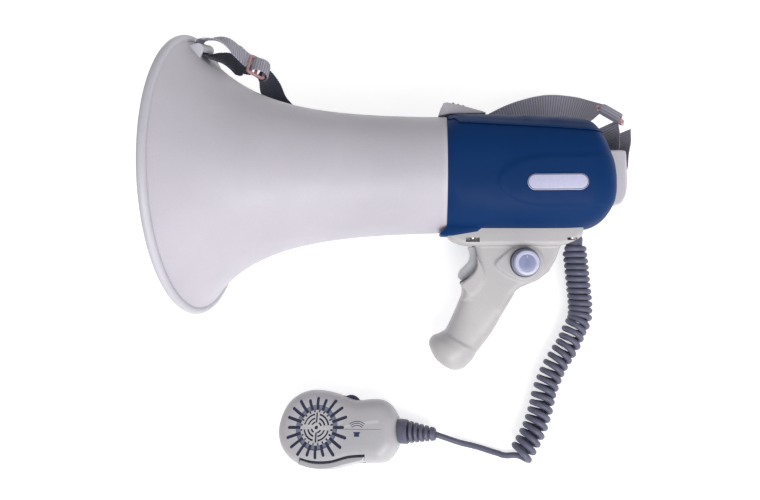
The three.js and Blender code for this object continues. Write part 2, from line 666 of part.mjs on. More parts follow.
function microphoneParts() {
  const group = new THREE.Group();
  const barLow = 6;
  const barHigh = 19;
  const barPocket = plate(talkBarOutline(1, 8, 5), barLow - 0.6, barHigh + 0.6);
  const wheelPocket = pinAlongZ(63.5, 21, 11.2, 18.8, 10.2);
  const grillePocket = pinAlongZ(38, 1.4, 24.6, 40, 18.4, 40);
  const bootHole = discAlongAxis(100, 120, 4.2, 16).translate(0, 0, 13);
  const body = cut(micSolid(0), micSolid(2.4), barPocket, wheelPocket, grillePocket, bootHole);
  const upper = block([-20, -60, MIC_SPLIT + GAP / 2], [130, 60, 60]);
  const lower = block([-20, -60, -10], [130, 60, MIC_SPLIT - GAP / 2]);
  group.add(named("mic_front_shell", common(body, upper), MIC_WHITE));
  group.add(named("mic_back_shell", common(body, lower), MIC_WHITE));
  group.add(named("mic_grille_ring", plate(circle(38, 1.4, 18, 40), 24.9, 25.9), DARK));
  group.add(named("mic_grille", pinAlongZ(38, 1.4, 26.2, 27.4, 14.2, 32), MIC_WHITE));
  group.add(named("mic_talk_bar", plate(talkBarOutline(), barLow, barHigh, 1), MIC_WHITE));
  group.add(named("mic_thumbwheel", pinAlongZ(63.5, 21, 11.8, 18.2, 9.2, 28), DARK));
  group.add(named("mic_talk_switch", block([60, -17, 8], [68, -11, 15]), BLACK));
  const talkSpring = coilSpring(2, 0.4, 3, 4).rotateZ(Math.PI / 2).translate(48, -21, 12);
  group.add(named("mic_talk_spring", talkSpring, STEEL));
  group.add(named("mic_capsule", pinAlongZ(38, 1.4, 9, 23, 10, 24), STEEL));
  group.add(named("mic_board", block([20, -10, 5], [92, 12, 6.6]), BOARD));
  group.position.set(MIC_X, MIC_Y, 0);
  return group;
}

function circle(x, y, radius, count) {
  const points = [];
  for (let i = 0; i < count; i++) {
    const angle = (2 * Math.PI * i) / count;
    points.push([x + radius * Math.cos(angle), y + radius * Math.sin(angle)]);
  }
  return points;
}

// A ring of the strain relief, which leans a little towards the cord's side.
function bootRing(x, radius, z) {
  const lean = (x - BOOT[0][0]) * 0.07;
  return circle(0, z, radius, 16).map(([across, up]) => new THREE.Vector3(x, across - lean, up));
}

function cordParts() {
  const group = new THREE.Group();
  const boot = loft(BOOT.map(([x, radius, z]) => bootRing(x, radius, z))).translate(MIC_X, MIC_Y, 0);
  group.add(named("mic_strain_relief", boot, CORD_GREY));
  group.add(named("cord_coil", cord(COIL_ROUTE, COIL_RADIUS, 12, 34), CORD_GREY));
  group.add(named("cord_lead", cord(LEAD_ROUTE, CORD_RADIUS, 8, 24), CORD_GREY));
  return group;
}

// ---- assembly ----
const lying = new THREE.Group();
lying.add(hornParts(), driverParts(), housingParts(), electronicsParts(), gripParts(), strapParts());
lying.rotation.set(LIE_ROLL, LIE_PITCH, 0, "YXZ");
lying.position.z = RIM_RADIUS * Math.cos(LIE_PITCH);

const uncorded = new THREE.Group();
uncorded.add(lying, microphoneParts());

// The origin is on the surface, under the middle of the megaphone and the microphone.
uncorded.updateMatrixWorld(true);
const extent = new THREE.Box3().setFromObject(uncorded, true);
const middle = extent.getCenter(new THREE.Vector3());

const megaphone = new THREE.Group();
megaphone.add(uncorded, cordParts());
megaphone.position.set(-middle.x, -middle.y, -extent.min.z);

export default megaphone;
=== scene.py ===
"""The looks of a handheld megaphone with a hand microphone on a curly cord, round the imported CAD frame.

Pieces are drawn in millimetres, in the megaphone's own frame (x from the mouth along the horn to the rear,
y up to the battery lid, z to the side with the volume knob) or in the microphone's (x towards its cord,
y across, z up from its back), and are moved into the row frame, in metres, as they are made.
The cord's route is in metres, on the surface that everything lies on.
"""
import json
import math

import bmesh
import bpy
from mathutils import Matrix, Vector


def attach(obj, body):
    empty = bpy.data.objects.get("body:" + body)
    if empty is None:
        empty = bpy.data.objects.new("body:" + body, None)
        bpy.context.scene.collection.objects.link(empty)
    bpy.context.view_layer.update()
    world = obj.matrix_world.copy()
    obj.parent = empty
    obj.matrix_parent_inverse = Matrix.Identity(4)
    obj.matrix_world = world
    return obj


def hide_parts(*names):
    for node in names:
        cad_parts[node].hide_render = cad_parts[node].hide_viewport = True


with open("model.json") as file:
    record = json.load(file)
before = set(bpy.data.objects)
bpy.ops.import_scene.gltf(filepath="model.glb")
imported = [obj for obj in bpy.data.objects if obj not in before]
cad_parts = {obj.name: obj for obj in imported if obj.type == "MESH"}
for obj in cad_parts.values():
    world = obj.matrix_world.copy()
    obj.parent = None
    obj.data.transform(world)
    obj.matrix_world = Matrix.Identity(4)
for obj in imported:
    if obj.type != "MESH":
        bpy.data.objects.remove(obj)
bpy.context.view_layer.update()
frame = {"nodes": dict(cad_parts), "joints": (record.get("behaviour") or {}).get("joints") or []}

# ---- driving dimensions, in millimetres ----
MM = 0.001
RIM_RADIUS = 115
RIM_BEAD = 3.3
HORN_LENGTH = 207.2
HORN_WALL = 2.4
HOUSING_FRONT = 207.5
HOUSING_WALL = 3
LIE_PITCH = math.radians(11.66)
LIE_ROLL = math.radians(21)
GRIP_HALF_WIDTH = 17.5
FLANGE_HALF_WIDTH = 24
WEBBING_WIDTH = 20
WEBBING_THICKNESS = 1.5
RIB_PITCH = 2.1  # between the webbing's cross ribs
THREADS_ACROSS = 26  # over half the webbing's width
WIRE_RADIUS = 2.3
HELIX_RADIUS = 7.4
KNOB = (268.3, -70.8)
TRIGGER_PIVOT = (236, -63, 0)
MIC_WHEEL = (63.5, 21, 15)
MIC_GRILLE = (38, 1.4)
MIC_SPLIT = 11
TOOTH = 0.2  # half the depth of the teeth on the knob and the thumbwheel

# ---- where the two frames lie ----
joints = {joint["name"]: joint for joint in frame["joints"]}


def frame_at(turn, joint, place):
    """The matrix from a piece's millimetres to the row frame, from a joint whose place is known in both."""
    where = Vector(joints[joint]["pos_m"])
    return Matrix.Translation(where) @ turn @ Matrix.Scale(MM, 4) @ Matrix.Translation(-Vector(place))


LYING = Matrix.Rotation(LIE_PITCH, 4, "Y") @ Matrix.Rotation(LIE_ROLL, 4, "X")
HORN = frame_at(LYING, "trigger_pull", TRIGGER_PIVOT)
MIC = frame_at(Matrix.Identity(4), "mic_volume_turn", MIC_WHEEL)
SURFACE = MIC.translation - Vector((0.0472, -0.1978, 0))  # the origin of the cord's route


# ---- curves and numbers ----
def full_turn(count):
    """Evenly spaced angles all the way round."""
    return [2 * math.pi * i / count for i in range(count)]


def squared(value, power):
    """A sine or cosine bent for a round section that is squarer the higher its power."""
    return math.copysign(abs(value) ** (2 / power), value)


def smoothstep(low, high, value):
    t = min(max((value - low) / (high - low), 0), 1)
    return t * t * (3 - 2 * t)


def hermite(rows, at):
    """Smooth values between rows of (key, value, value, ...), for a key within them."""
    keys = [row[0] for row in rows]
    i = max(k for k in range(len(rows) - 1) if keys[k] <= at or k == 0)
    step = keys[i + 1] - keys[i]
    t = min(max((at - keys[i]) / step, 0), 1)
    before = rows[max(i - 1, 0)]
    after = rows[min(i + 2, len(rows) - 1)]
    values = []
    for n in range(1, len(rows[0])):
        a, b = rows[i][n], rows[i + 1][n]
        slope_a = (b - before[n]) / (keys[i + 1] - before[0]) * step
        slope_b = (after[n] - a) / (after[0] - keys[i]) * step
        if (b - a) * slope_a <= 0:
            slope_a = 0
        if (b - a) * slope_b <= 0:
            slope_b = 0
        t2, t3 = t * t, t * t * t
        blend_in = (2 * t3 - 3 * t2 + 1) * a + (t3 - 2 * t2 + t) * slope_a
        values.append(blend_in + (3 * t2 - 2 * t3) * b + (t3 - t2) * slope_b)
    return values


def through(points, steps, closed=False):
    """A smooth line through points of any number of dimensions, with steps to each of its spans."""
    points = [Vector(p) if len(p) < 5 else p for p in points]
    count = len(points)
    spans = count if closed else count - 1
    line = []
    for i in range(spans):
        if closed:
            p = [points[(i + k) % count] for k in (-1, 0, 1, 2)]
        else:
            p = [points[min(max(i + k, 0), count - 1)] for k in (-1, 0, 1, 2)]
        for j in range(steps):
            t = j / steps
            weights = (
                (-t + 2 * t**2 - t**3) / 2,
                (2 - 5 * t**2 + 3 * t**3) / 2,
                (t + 4 * t**2 - 3 * t**3) / 2,
                (-(t**2) + t**3) / 2,
            )
            line.append([sum(w * q[n] for w, q in zip(weights, p)) for n in range(len(points[0]))])
    if not closed:
        line.append(list(points[-1]))
    return line


def evenly(points, gap):
    """The same line with its points a fixed gap apart."""
    line = [Vector(p) for p in points]
    length = sum((b - a).length for a, b in zip(line, line[1:]))
    count = max(round(length / gap), 2)
    step = length / count
    out, walked, target = [line[0]], 0.0, step
    for a, b in zip(line, line[1:]):
        span = (b - a).length
        while span > 0 and walked + span >= target - 1e-9 and len(out) < count:
            out.append(a.lerp(b, (target - walked) / span))
            target += step
        walked += span
    out.append(line[-1])
    return out, length


def arc(x, y, radius, start, stop, count):
    """Points on a circle from one angle to another, in degrees."""
    angles = [math.radians(start + (stop - start) * i / count) for i in range(count + 1)]
    return [(x + radius * math.cos(a), y + radius * math.sin(a)) for a in angles]


def pill(x0, y0, x1, y1, radius, count=8):
    """The outline of a bar with round ends."""
    angle = math.degrees(math.atan2(y1 - y0, x1 - x0))
    first = arc(x0, y0, radius, angle + 90, angle + 270, count)
    return first + arc(x1, y1, radius, angle - 90, angle + 90, count)


def knurled(centre, radius, teeth):
    """The outline of a wheel with fine round teeth."""
    outline = []
    for angle in full_turn(teeth * 4):
        reach = radius + TOOTH * math.cos(teeth * angle)
        outline.append((centre[0] + reach * math.cos(angle), centre[1] + reach * math.sin(angle)))
    return outline


# ---- meshes, in millimetres ----
def placed(name, data):
    """A new object in the scene."""
    obj = bpy.data.objects.new(name, data)
    bpy.context.scene.collection.objects.link(obj)
    return obj


def mesh_from(build):
    """A mesh filled by a function that gets an empty bmesh."""
    bm = bmesh.new()
    build(bm)
    bmesh.ops.recalc_face_normals(bm, faces=bm.faces)
    mesh = bpy.data.meshes.new("mesh")
    bm.to_mesh(mesh)
    bm.free()
    return mesh


def skin(rings, capped=True, looped=False):
    """A mesh over rings of points. Its ends are capped, or its last ring meets its first."""

    def build(bm):
        rows = [[bm.verts.new(p) for p in ring] for ring in rings]
        count = len(rows[0])
        pairs = list(zip(rows, rows[1:])) + ([(rows[-1], rows[0])] if looped else [])
        for low, high in pairs:
            for j in range(count):
                k = (j + 1) % count
                bm.faces.new((low[j], low[k], high[k], high[j]))
        if capped and not looped:
            for ring in (rows[0], rows[-1]):
                centre = bm.verts.new(sum((v.co for v in ring), Vector()) / count)
                for j in range(count):
                    bm.faces.new((centre, ring[j], ring[(j + 1) % count]))

    return mesh_from(build)


def lathe(profile, segments=144):
    """A solid turned about the x axis, from (x, radius) pairs that close on themselves or on the axis."""
    closed = profile[0] == profile[-1]
    rings = []
    for x, radius in profile[:-1] if closed else profile:
        reach = max(radius, 1e-4)
        rings.append([(x, reach * math.cos(a), reach * math.sin(a)) for a in full_turn(segments)])
    return skin(rings, capped=not closed, looped=closed)


def upright(profile, x=0, y=0, segments=96):
    """A solid turned about a line along z at x, y, from (z, radius) pairs."""
    mesh = lathe(profile, segments)
    mesh.transform(Matrix.Translation((x, y, 0)) @ Matrix.Rotation(-math.pi / 2, 4, "Y"))
    return mesh


def slab(outline, z0, z1, bevel=0.0, segments=3):
    """An outline in x and y filled between two heights, with its edges rounded within that space."""

    def build(bm):
        base = bm.faces.new([bm.verts.new((x, y, z0)) for x, y in outline])
        risen = bmesh.ops.extrude_face_region(bm, geom=[base])
        top = [v for v in risen["geom"] if isinstance(v, bmesh.types.BMVert)]
        bmesh.ops.translate(bm, vec=(0, 0, z1 - z0), verts=top)
        if bevel:
            rims = [e for e in bm.edges if abs(e.verts[0].co.z - e.verts[1].co.z) < 1e-6]
            bmesh.ops.bevel(
                bm, geom=rims, offset=bevel, segments=segments, profile=0.5, affect="EDGES",
                clamp_overlap=True,
            )

    return mesh_from(build)


def block(low, high):
    outline = [(low[0], low[1]), (high[0], low[1]), (high[0], high[1]), (low[0], high[1])]
    return slab(outline, low[2], high[2])


def rod(line, radius, sides=16, closed=False):
    """A round wire along a line of points."""
    line = [Vector(p) for p in line]
    count = len(line)
    rings = []
    side = None
    for i, centre in enumerate(line):
        ahead = line[(i + 1) % count] if closed or i + 1 < count else centre
        behind = line[i - 1] if closed or i > 0 else centre
        along = (ahead - behind).normalized()
        if side is None:
            side = along.orthogonal().normalized()
        side = (side - along * side.dot(along)).normalized()
        other = along.cross(side)
        ring = [side * radius * math.cos(a) + other * radius * math.sin(a) for a in full_turn(sides)]
        rings.append([centre + p for p in ring])
    return skin(rings, capped=not closed, looped=closed)


def merged(*meshes):
    """Several meshes in one, as separate shells."""
    bm = bmesh.new()
    for mesh in meshes:
        bm.from_mesh(mesh)
    out = bpy.data.meshes.new("mesh")
    bm.to_mesh(out)
    bm.free()
    return out


def evaluated(mesh, set_up):
    """The mesh after modifiers that a function adds to an object holding it."""
    holder = placed("holder", mesh)
    helpers = set_up(holder) or []
    graph = bpy.context.evaluated_depsgraph_get()
    out = bpy.data.meshes.new_from_object(holder.evaluated_get(graph))
    for temporary in [holder, *helpers]:
        bpy.data.objects.remove(temporary)
    return out


def boolean(mesh, tools, operation):
    def set_up(holder):
        helpers = []
        for tool in tools:
            helper = placed("tool", tool)
            modifier = holder.modifiers.new("cut", "BOOLEAN")
            modifier.operation = operation
            modifier.solver = "EXACT"
            modifier.object = helper
            helpers.append(helper)
        return helpers

    return evaluated(mesh, set_up)


def cut(mesh, *tools):
    return boolean(mesh, tools, "DIFFERENCE")


def common(mesh, *tools):
    return boolean(mesh, tools, "INTERSECT")


def fused(meshes, voxel, rounds):
    """Overlapping solids grown into one, with soft moulded fillets where they meet."""

    def set_up(holder):
        remesh = holder.modifiers.new("fuse", "REMESH")
        remesh.mode = "VOXEL"
        remesh.voxel_size = voxel
        smooth = holder.modifiers.new("soften", "SMOOTH")
        smooth.factor = 0.5
        smooth.iterations = rounds

    return evaluated(merged(*meshes), set_up)


def piece(name, mesh, material, body, nodes=(), place=HORN, sharp=35):
    """A mesh in its own millimetres becomes a shown piece that rides on a body and stands for CAD nodes."""
    mesh.name = name
    mesh.transform(place)
    mesh.materials.clear()
    mesh.materials.append(material)
    mesh.shade_smooth()
    mesh.set_sharp_from_angle(angle=math.radians(sharp))
    obj = placed(name, mesh)
    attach(obj, body)
    if nodes:
        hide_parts(*nodes)


# ---- materials ----
def shader(name, rough, **inputs):
    """A new material and its nodes, with plain shader inputs set on the sockets."""
    material = bpy.data.materials.new(name)
    material.use_nodes = True
    tree = material.node_tree
    principled = tree.nodes["Principled BSDF"]
    principled.inputs["Roughness"].default_value = rough
    for key, value in inputs.items():
        principled.inputs[key.replace("_", " ")].default_value = value
    return material, tree, principled


def noise_node(tree, scale, detail=3.0, stretch=(1, 1, 1)):
    """Noise in the row frame, whose scale counts its features in a metre."""
    place = tree.nodes.new("ShaderNodeTexCoord")
    mapping = tree.nodes.new("ShaderNodeMapping")
    mapping.inputs["Scale"].default_value = stretch
    tree.links.new(place.outputs["Object"], mapping.inputs["Vector"])
    texture = tree.nodes.new("ShaderNodeTexNoise")
    texture.inputs["Scale"].default_value = scale
    texture.inputs["Detail"].default_value = detail
    tree.links.new(mapping.outputs["Vector"], texture.inputs["Vector"])
    return texture.outputs["Fac"]


def ramp(tree, value, low, high, first, second):
    """Goes from the first colour to the second as a value goes from low to high."""
    node = tree.nodes.new("ShaderNodeValToRGB")
    node.color_ramp.elements[0].position = low
    node.color_ramp.elements[1].position = high
    node.color_ramp.elements[0].color = (*first, 1)
    node.color_ramp.elements[1].color = (*second, 1)
    tree.links.new(value, node.inputs["Fac"])
    return node.outputs["Color"]


def mixed(tree, factor, first, second, kind="MIX"):
    """Mixes two colours, or multiplies the second on the first."""
    node = tree.nodes.new("ShaderNodeMix")
    node.data_type = "RGBA"
    node.blend_type = kind
    if isinstance(factor, float):
        node.inputs["Factor"].default_value = factor
    else:
        tree.links.new(factor, node.inputs["Factor"])
    for socket, colour in ((node.inputs[6], first), (node.inputs[7], second)):
        if isinstance(colour, tuple):
            socket.default_value = (*colour, 1)
        else:
            tree.links.new(colour, socket)
    return node.outputs[2]


def bumped(tree, principled, heights):
    """Fine relief: pairs of a height and its depth in metres, one over the other."""
    normal = None
    for height, depth in heights:
        bump = tree.nodes.new("ShaderNodeBump")
        bump.inputs["Distance"].default_value = depth
        tree.links.new(height, bump.inputs["Height"])
        if normal:
            tree.links.new(normal, bump.inputs["Normal"])
        normal = bump.outputs["Normal"]
    tree.links.new(normal, principled.inputs["Normal"])


def toned(tree, principled, noise, low, high, first, second):
    """Lets a noise carry the base colour from one tone to another."""
    tree.links.new(ramp(tree, noise, low, high, first, second), principled.inputs["Base Color"])


def shaded(colour, factor):
    return tuple(min(c * factor, 1) for c in colour)


def moulded(name, colour, rough, grain=2600, depth=0.00003, worn=1.12, **inputs):
    """Moulded plastic: a fine spark-eroded grain, slow changes of tone, and edges rubbed lighter."""
    material, tree, principled = shader(name, rough, **inputs)
    slow = ramp(tree, noise_node(tree, 14), 0.35, 0.7, shaded(colour, 0.95), shaded(colour, 1.04))
    fine = ramp(tree, noise_node(tree, grain / 2, 2), 0.3, 0.7, (0.93, 0.93, 0.93), (1, 1, 1))
    base = mixed(tree, 1.0, slow, fine, "MULTIPLY")
    geometry = tree.nodes.new("ShaderNodeNewGeometry")
    edges = ramp(tree, geometry.outputs["Pointiness"], 0.52, 0.6, (0, 0, 0), (1, 1, 1))
    base = mixed(tree, edges, base, shaded(colour, worn))
    tree.links.new(base, principled.inputs["Base Color"])
    scuffs = ramp(tree, noise_node(tree, 60, 6), 0.45, 0.75, (rough - 0.05,) * 3, (rough + 0.1,) * 3)
    tree.links.new(scuffs, principled.inputs["Roughness"])
    bumped(tree, principled, [(noise_node(tree, grain, 2), depth), (noise_node(tree, 35, 2), depth * 3)])
    return material


def glossy(name, colour, rough, **inputs):
    """Smooth moulded plastic with faint handling marks."""
    return moulded(name, colour, rough, 900, 0.000006, 1.05, **inputs)


def vinyl(name, colour):
    """The cord's soft vinyl: satin, with a little dust in its pores and a fine drawn grain."""
    material, tree, principled = shader(name, 0.5)
    toned(tree, principled, noise_node(tree, 90, 4), 0.3, 0.75, shaded(colour, 0.86), shaded(colour, 1.12))
    rough = ramp(tree, noise_node(tree, 400, 3), 0.3, 0.7, (0.42,) * 3, (0.58,) * 3)
    tree.links.new(rough, principled.inputs["Roughness"])
    bumped(tree, principled, [(noise_node(tree, 3000, 3), 0.00003)])
    return material


def attribute(tree, name):
    node = tree.nodes.new("ShaderNodeAttribute")
    node.attribute_name = name
    return node.outputs["Fac"]


def woven(name, colour, shade_colour):
    """Ribbed nylon webbing with painted shade: darker where its tone attribute is low and darker in the
    troughs between ribs; single threads on each rib.
    """
    material, tree, principled = shader(name, 0.72)
    principled.inputs["Sheen Weight"].default_value = 0.15
    principled.inputs["Sheen Roughness"].default_value = 0.5
    threads = tree.nodes.new("ShaderNodeMath")
    threads.operation = "SINE"
    many = tree.nodes.new("ShaderNodeMath")
    many.operation = "MULTIPLY"
    many.inputs[1].default_value = 2 * math.pi * THREADS_ACROSS
    tree.links.new(attribute(tree, "across"), many.inputs[0])
    tree.links.new(many.outputs[0], threads.inputs[0])
    # painted shade: the colour runs from a shaded colour where the tone is 0 to the lit colour where it is
    # 1
    painted_shade = ramp(tree, attribute(tree, "tone"), 0.0, 1.0, shaded(shade_colour, 0.9), colour)
    # painted shade: the troughs between the ribs are darkened to 0.58 of the colour
    ribs = ramp(tree, attribute(tree, "rib"), 0.1, 0.8, (0.58, 0.58, 0.6), (1, 1, 1))
    ribs = mixed(tree, 1.0, painted_shade, ribs, "MULTIPLY")
    yarn = ramp(tree, threads.outputs[0], 0.0, 0.9, (0.82, 0.82, 0.84), (1, 1, 1))
    base = mixed(tree, 1.0, ribs, yarn, "MULTIPLY")
    fuzz = ramp(tree, noise_node(tree, 1500, 4), 0.3, 0.7, (0.82,) * 3, (1, 1, 1))
    tree.links.new(mixed(tree, 1.0, base, fuzz, "MULTIPLY"), principled.inputs["Base Color"])
    heights = [(threads.outputs[0], 0.00012), (noise_node(tree, 2400, 4), 0.0001)]
    bumped(tree, principled, heights)
    return material


def metal(name, colour, rough, stretch=(1, 1, 1)):
    """Plain steel with drawn or turned scratches."""
    material, tree, principled = shader(name, rough, Metallic=1.0)
    scratches = noise_node(tree, 700, 5, stretch)
    toned(tree, principled, scratches, 0.35, 0.7, shaded(colour, 0.8), colour)
    bumped(tree, principled, [(scratches, 0.00002)])
    return material


def printed(name, colour):
    """Printing ink on plastic, a little worn through in places."""
    material, tree, principled = shader(name, 0.5)
    toned(tree, principled, noise_node(tree, 900, 4), 0.3, 0.7, shaded(colour, 0.8), shaded(colour, 1.3))
    return material


def milky(name, colour):
    """The knob's translucent cap."""
    material, tree, principled = shader(name, 0.28, Subsurface_Weight=0.35, Coat_Weight=0.25)
    principled.inputs["Subsurface Radius"].default_value = (0.004, 0.004, 0.006)
    toned(tree, principled, noise_node(tree, 160, 2), 0.3, 0.7, shaded(colour, 0.95), shaded(colour, 1.05))
    bumped(tree, principled, [(noise_node(tree, 600, 2), 0.00002)])
    return material


def circuit(name):
    """A green circuit board with lighter copper tracks under its lacquer."""
    material, tree, principled = shader(name, 0.4)
    tracks = noise_node(tree, 160, 1, (1, 3, 3))
    toned(tree, principled, tracks, 0.49, 0.52, (0.02, 0.13, 0.06), (0.05, 0.25, 0.1))
    bumped(tree, principled, [(tracks, 0.0001)])
    return material


HORN_WHITE = moulded("horn_white", (0.5, 0.475, 0.53), 0.46, Specular_IOR_Level=0.35)
RIM_WHITE = moulded("rim_white", (0.5, 0.49, 0.54), 0.42, Specular_IOR_Level=0.35)
HOUSING_BLUE = moulded(
    "housing_blue", (0.0005, 0.026, 0.115), 0.55, 2200, 0.00004, 1.4, Specular_IOR_Level=0.12
)
GRIP_WHITE = moulded("grip_white", (0.46, 0.445, 0.455), 0.45, 2400, 0.00004)
TRIGGER_WHITE = moulded("trigger_white", (0.48, 0.48, 0.52), 0.42)
KNOB_DARK = moulded("knob_dark", (0.22, 0.24, 0.33), 0.5)
KNOB_CAP = milky("knob_cap", (0.5, 0.51, 0.66))
KNOB_INSERT = glossy("knob_insert", (0.22, 0.24, 0.4), 0.4)
LABEL = glossy("label_pale", (0.5, 0.5, 0.68), 0.4)
INK = printed("dark_ink", (0.012, 0.02, 0.09))
BLACK = moulded("black_plastic", (0.02, 0.02, 0.024), 0.55)
CORD_GREY = vinyl("cord_grey", (0.095, 0.095, 0.15))
# the webbing's second colour is its painted shade colour, for where its tone is low
WEBBING = woven("webbing_grey", (0.72, 0.7, 0.82), (0.04, 0.046, 0.095))
BUCKLE = glossy("buckle_copper", (0.42, 0.22, 0.24), 0.32, Coat_Weight=0.3)
MIC_WHITE = moulded("mic_white", (0.46, 0.45, 0.475), 0.42)
MIC_GREY = moulded("mic_grey", (0.14, 0.15, 0.21), 0.5)
MIC_NAVY = moulded("mic_navy", (0.012, 0.018, 0.06), 0.5)
STEEL = metal("steel", (0.55, 0.55, 0.56), 0.32)
MAGNET = metal("magnet", (0.12, 0.12, 0.13), 0.5)
BOARD = circuit("circuit_board")
CELL = glossy("cell_wrap", (0.3, 0.2, 0.04), 0.3)


# ---- camera, light and floor ----
def make_camera():
    """The camera stands before the megaphone's side, level with it and turned a little towards the rear."""
    camera = placed("camera", bpy.data.cameras.new("camera"))
    camera.data.sensor_width = 36
    camera.data.lens = 29.37
    camera.data.clip_start = 0.01
    turn = LYING @ Matrix.Rotation(math.radians(4.3), 4, "Y")
    camera.matrix_world = Matrix.Translation(HORN @ Vector((191.3, -61.1, 513.6))) @ turn
    bpy.context.scene.camera = camera


def area_light(name, place, target, size, power):
    light = bpy.data.lights.new(name, "AREA")
    light.size = size
    light.energy = power
    lamp = placed(name, light)
    lamp.location = place
    lamp.rotation_euler = (Vector(target) - Vector(place)).to_track_quat("-Z", "Y").to_euler()


def make_studio():
    """A white lit table under soft light that comes mostly from below the picture."""
    material, tree, principled = shader("floor_white", 0.9)
    toned(tree, principled, noise_node(tree, 3, 2), 0.3, 0.7, (0.9, 0.9, 0.9), (0.92, 0.92, 0.92))
    principled.inputs["Emission Color"].default_value = (1, 1, 1, 1)
    principled.inputs["Emission Strength"].default_value = 0.5
    floor = placed("floor", block((-4, -4, -0.02), (4, 4, 0)))
    floor.data.materials.append(material)
    world = bpy.data.worlds.new("studio")
    world.use_nodes = True
    world.node_tree.nodes["Background"].inputs["Color"].default_value = (1, 1, 1, 1)
    world.node_tree.nodes["Background"].inputs["Strength"].default_value = 0.46
    bpy.context.scene.world = world
    area_light("key", (0.55, -1.2, 0.9), (0, 0, 0.05), 1.0, 20)
    area_light("fill", (-0.6, 0.1, 1.5), (0, 0, 0), 1.6, 2.5)
    bpy.context.scene.view_settings.view_transform = "Standard"


# ---- the cord: chosen points on the surface, in metres, from the gland to the microphone ----
COIL_ROUTE = [
    (0.2999, -0.0551, 0.0292), (0.3004, -0.066, 0.0251), (0.3007, -0.078, 0.0206), (0.3011, -0.09, 0.0162),
    (0.301, -0.1, 0.0128), (0.2996, -0.11, 0.0106), (0.295, -0.1186, 0.01), (0.2894, -0.1299, 0.0099),
    (0.2829, -0.1394, 0.0099), (0.2769, -0.1488, 0.0099), (0.272, -0.159, 0.0099), (0.268, -0.1685, 0.0099),
    (0.2655, -0.178, 0.0099), (0.2626, -0.1865, 0.0099), (0.259, -0.1955, 0.0099), (0.2543, -0.204, 0.0099),
    (0.2496, -0.2115, 0.0099), (0.2448, -0.2182, 0.0099),
]
LEAD_ROUTE = [
    (0.2412, -0.2166, 0.0032), (0.2396, -0.2182, 0.0027), (0.2354, -0.217, 0.0026),
    (0.2314, -0.2141, 0.0026), (0.2253, -0.2123, 0.0026), (0.2128, -0.2086, 0.0028),
    (0.2002, -0.2058, 0.0042), (0.19, -0.2027, 0.0076), (0.1834, -0.2006, 0.0097),
    (0.181, -0.1998, 0.01), (0.176, -0.1995, 0.0107),
]
TIGHT_PITCH = 0.0049
OPEN_PITCH = 0.0064
POINTS_PER_TURN = 24
LEAD_JOIN = 18  # the point of the lead that the helix runs into


def bridge(start, start_way, end, end_way, count):
    """Points of a smooth run between two places, leaving each along its own way."""
    reach = (end - start).length * 1.2
    points = []
    for i in range(1, count):
        t = i / count
        between = start * (2 * t**3 - 3 * t**2 + 1) + end * (3 * t**2 - 2 * t**3)
        leaving = start_way.normalized() * reach * (t**3 - 2 * t**2 + t)
        points.append(between + leaving + end_way.normalized() * reach * (t**3 - t**2))
    return points


def curly_line():
    """The cord's own line: a helix round the coil's route from the gland, then the loose lead."""
    route, length = evenly(through(COIL_ROUTE, 12), 0.0002)
    step = length / (len(route) - 1)
    line = []
    phase = math.radians(200)
    side = Vector((1, 0, 0))
    for i in range(1, len(route) - 1):
        along = (route[i + 1] - route[i - 1]).normalized()
        side = (side - along * side.dot(along)).normalized()
        other = side.cross(along)
        share = i * step / length
        pitch = TIGHT_PITCH + (OPEN_PITCH - TIGHT_PITCH) * smoothstep(0.3, 0.42, share)
        phase += 2 * math.pi * step / pitch
        out = side * math.cos(phase) + other * math.sin(phase)
        line.append(SURFACE + route[i] + out * HELIX_RADIUS * MM)
    helix, _ = evenly(line, 2 * math.pi * HELIX_RADIUS * MM / POINTS_PER_TURN)
    lead = [SURFACE + Vector(p) for p in through(LEAD_ROUTE, 6)]
    way = lead[LEAD_JOIN + 1] - lead[LEAD_JOIN]
    last_turn = range(len(helix) - POINTS_PER_TURN, len(helix) - 1)
    end = max(last_turn, key=lambda i: (helix[i + 1] - helix[i]).normalized().dot(way.normalized()))
    run = bridge(helix[end], helix[end] - helix[end - 1], lead[LEAD_JOIN], way, 12)
    for point in run:
        point.z = max(point.z, 1.05 * WIRE_RADIUS * MM)
    return [*helix[:end + 1], *run, *lead[LEAD_JOIN:]]


def make_cord():
    line = curly_line()
    curve = bpy.data.curves.new("cord", "CURVE")
    curve.dimensions = "3D"
    curve.bevel_depth = WIRE_RADIUS * MM
    curve.bevel_resolution = 4
    curve.use_fill_caps = True
    spline = curve.splines.new("POLY")
    spline.points.add(len(line) - 1)
    for point, place in zip(spline.points, line):
        point.co = (*place, 1)
    spline.use_smooth = True
    curve.materials.append(CORD_GREY)
    cord = placed("curly_cord", curve)
    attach(cord, "megaphone")
    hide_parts("cord_coil", "cord_lead")
    return cord, line


make_camera()
make_studio()
cord, cord_line = make_cord()


# ---- horn ----
def horn_radius(x):
    return 46.2 + 65.5 * math.exp(-x / 51) + 3.3 * math.exp(-x / 5)


def horn_skin(offset, count=90):
    """(x, radius) pairs along the horn's skin, moved outward by an offset."""
    pairs = []
    for i in range(count + 1):
        x = 1 + (HORN_LENGTH - 1) * (i / count) ** 1.6
        slope = (horn_radius(x + 0.01) - horn_radius(x - 0.01)) / 0.02
        reach = math.hypot(1, slope)
        pairs.append((min(x - offset * slope / reach, HORN_LENGTH), horn_radius(x) + offset / reach))
    return pairs


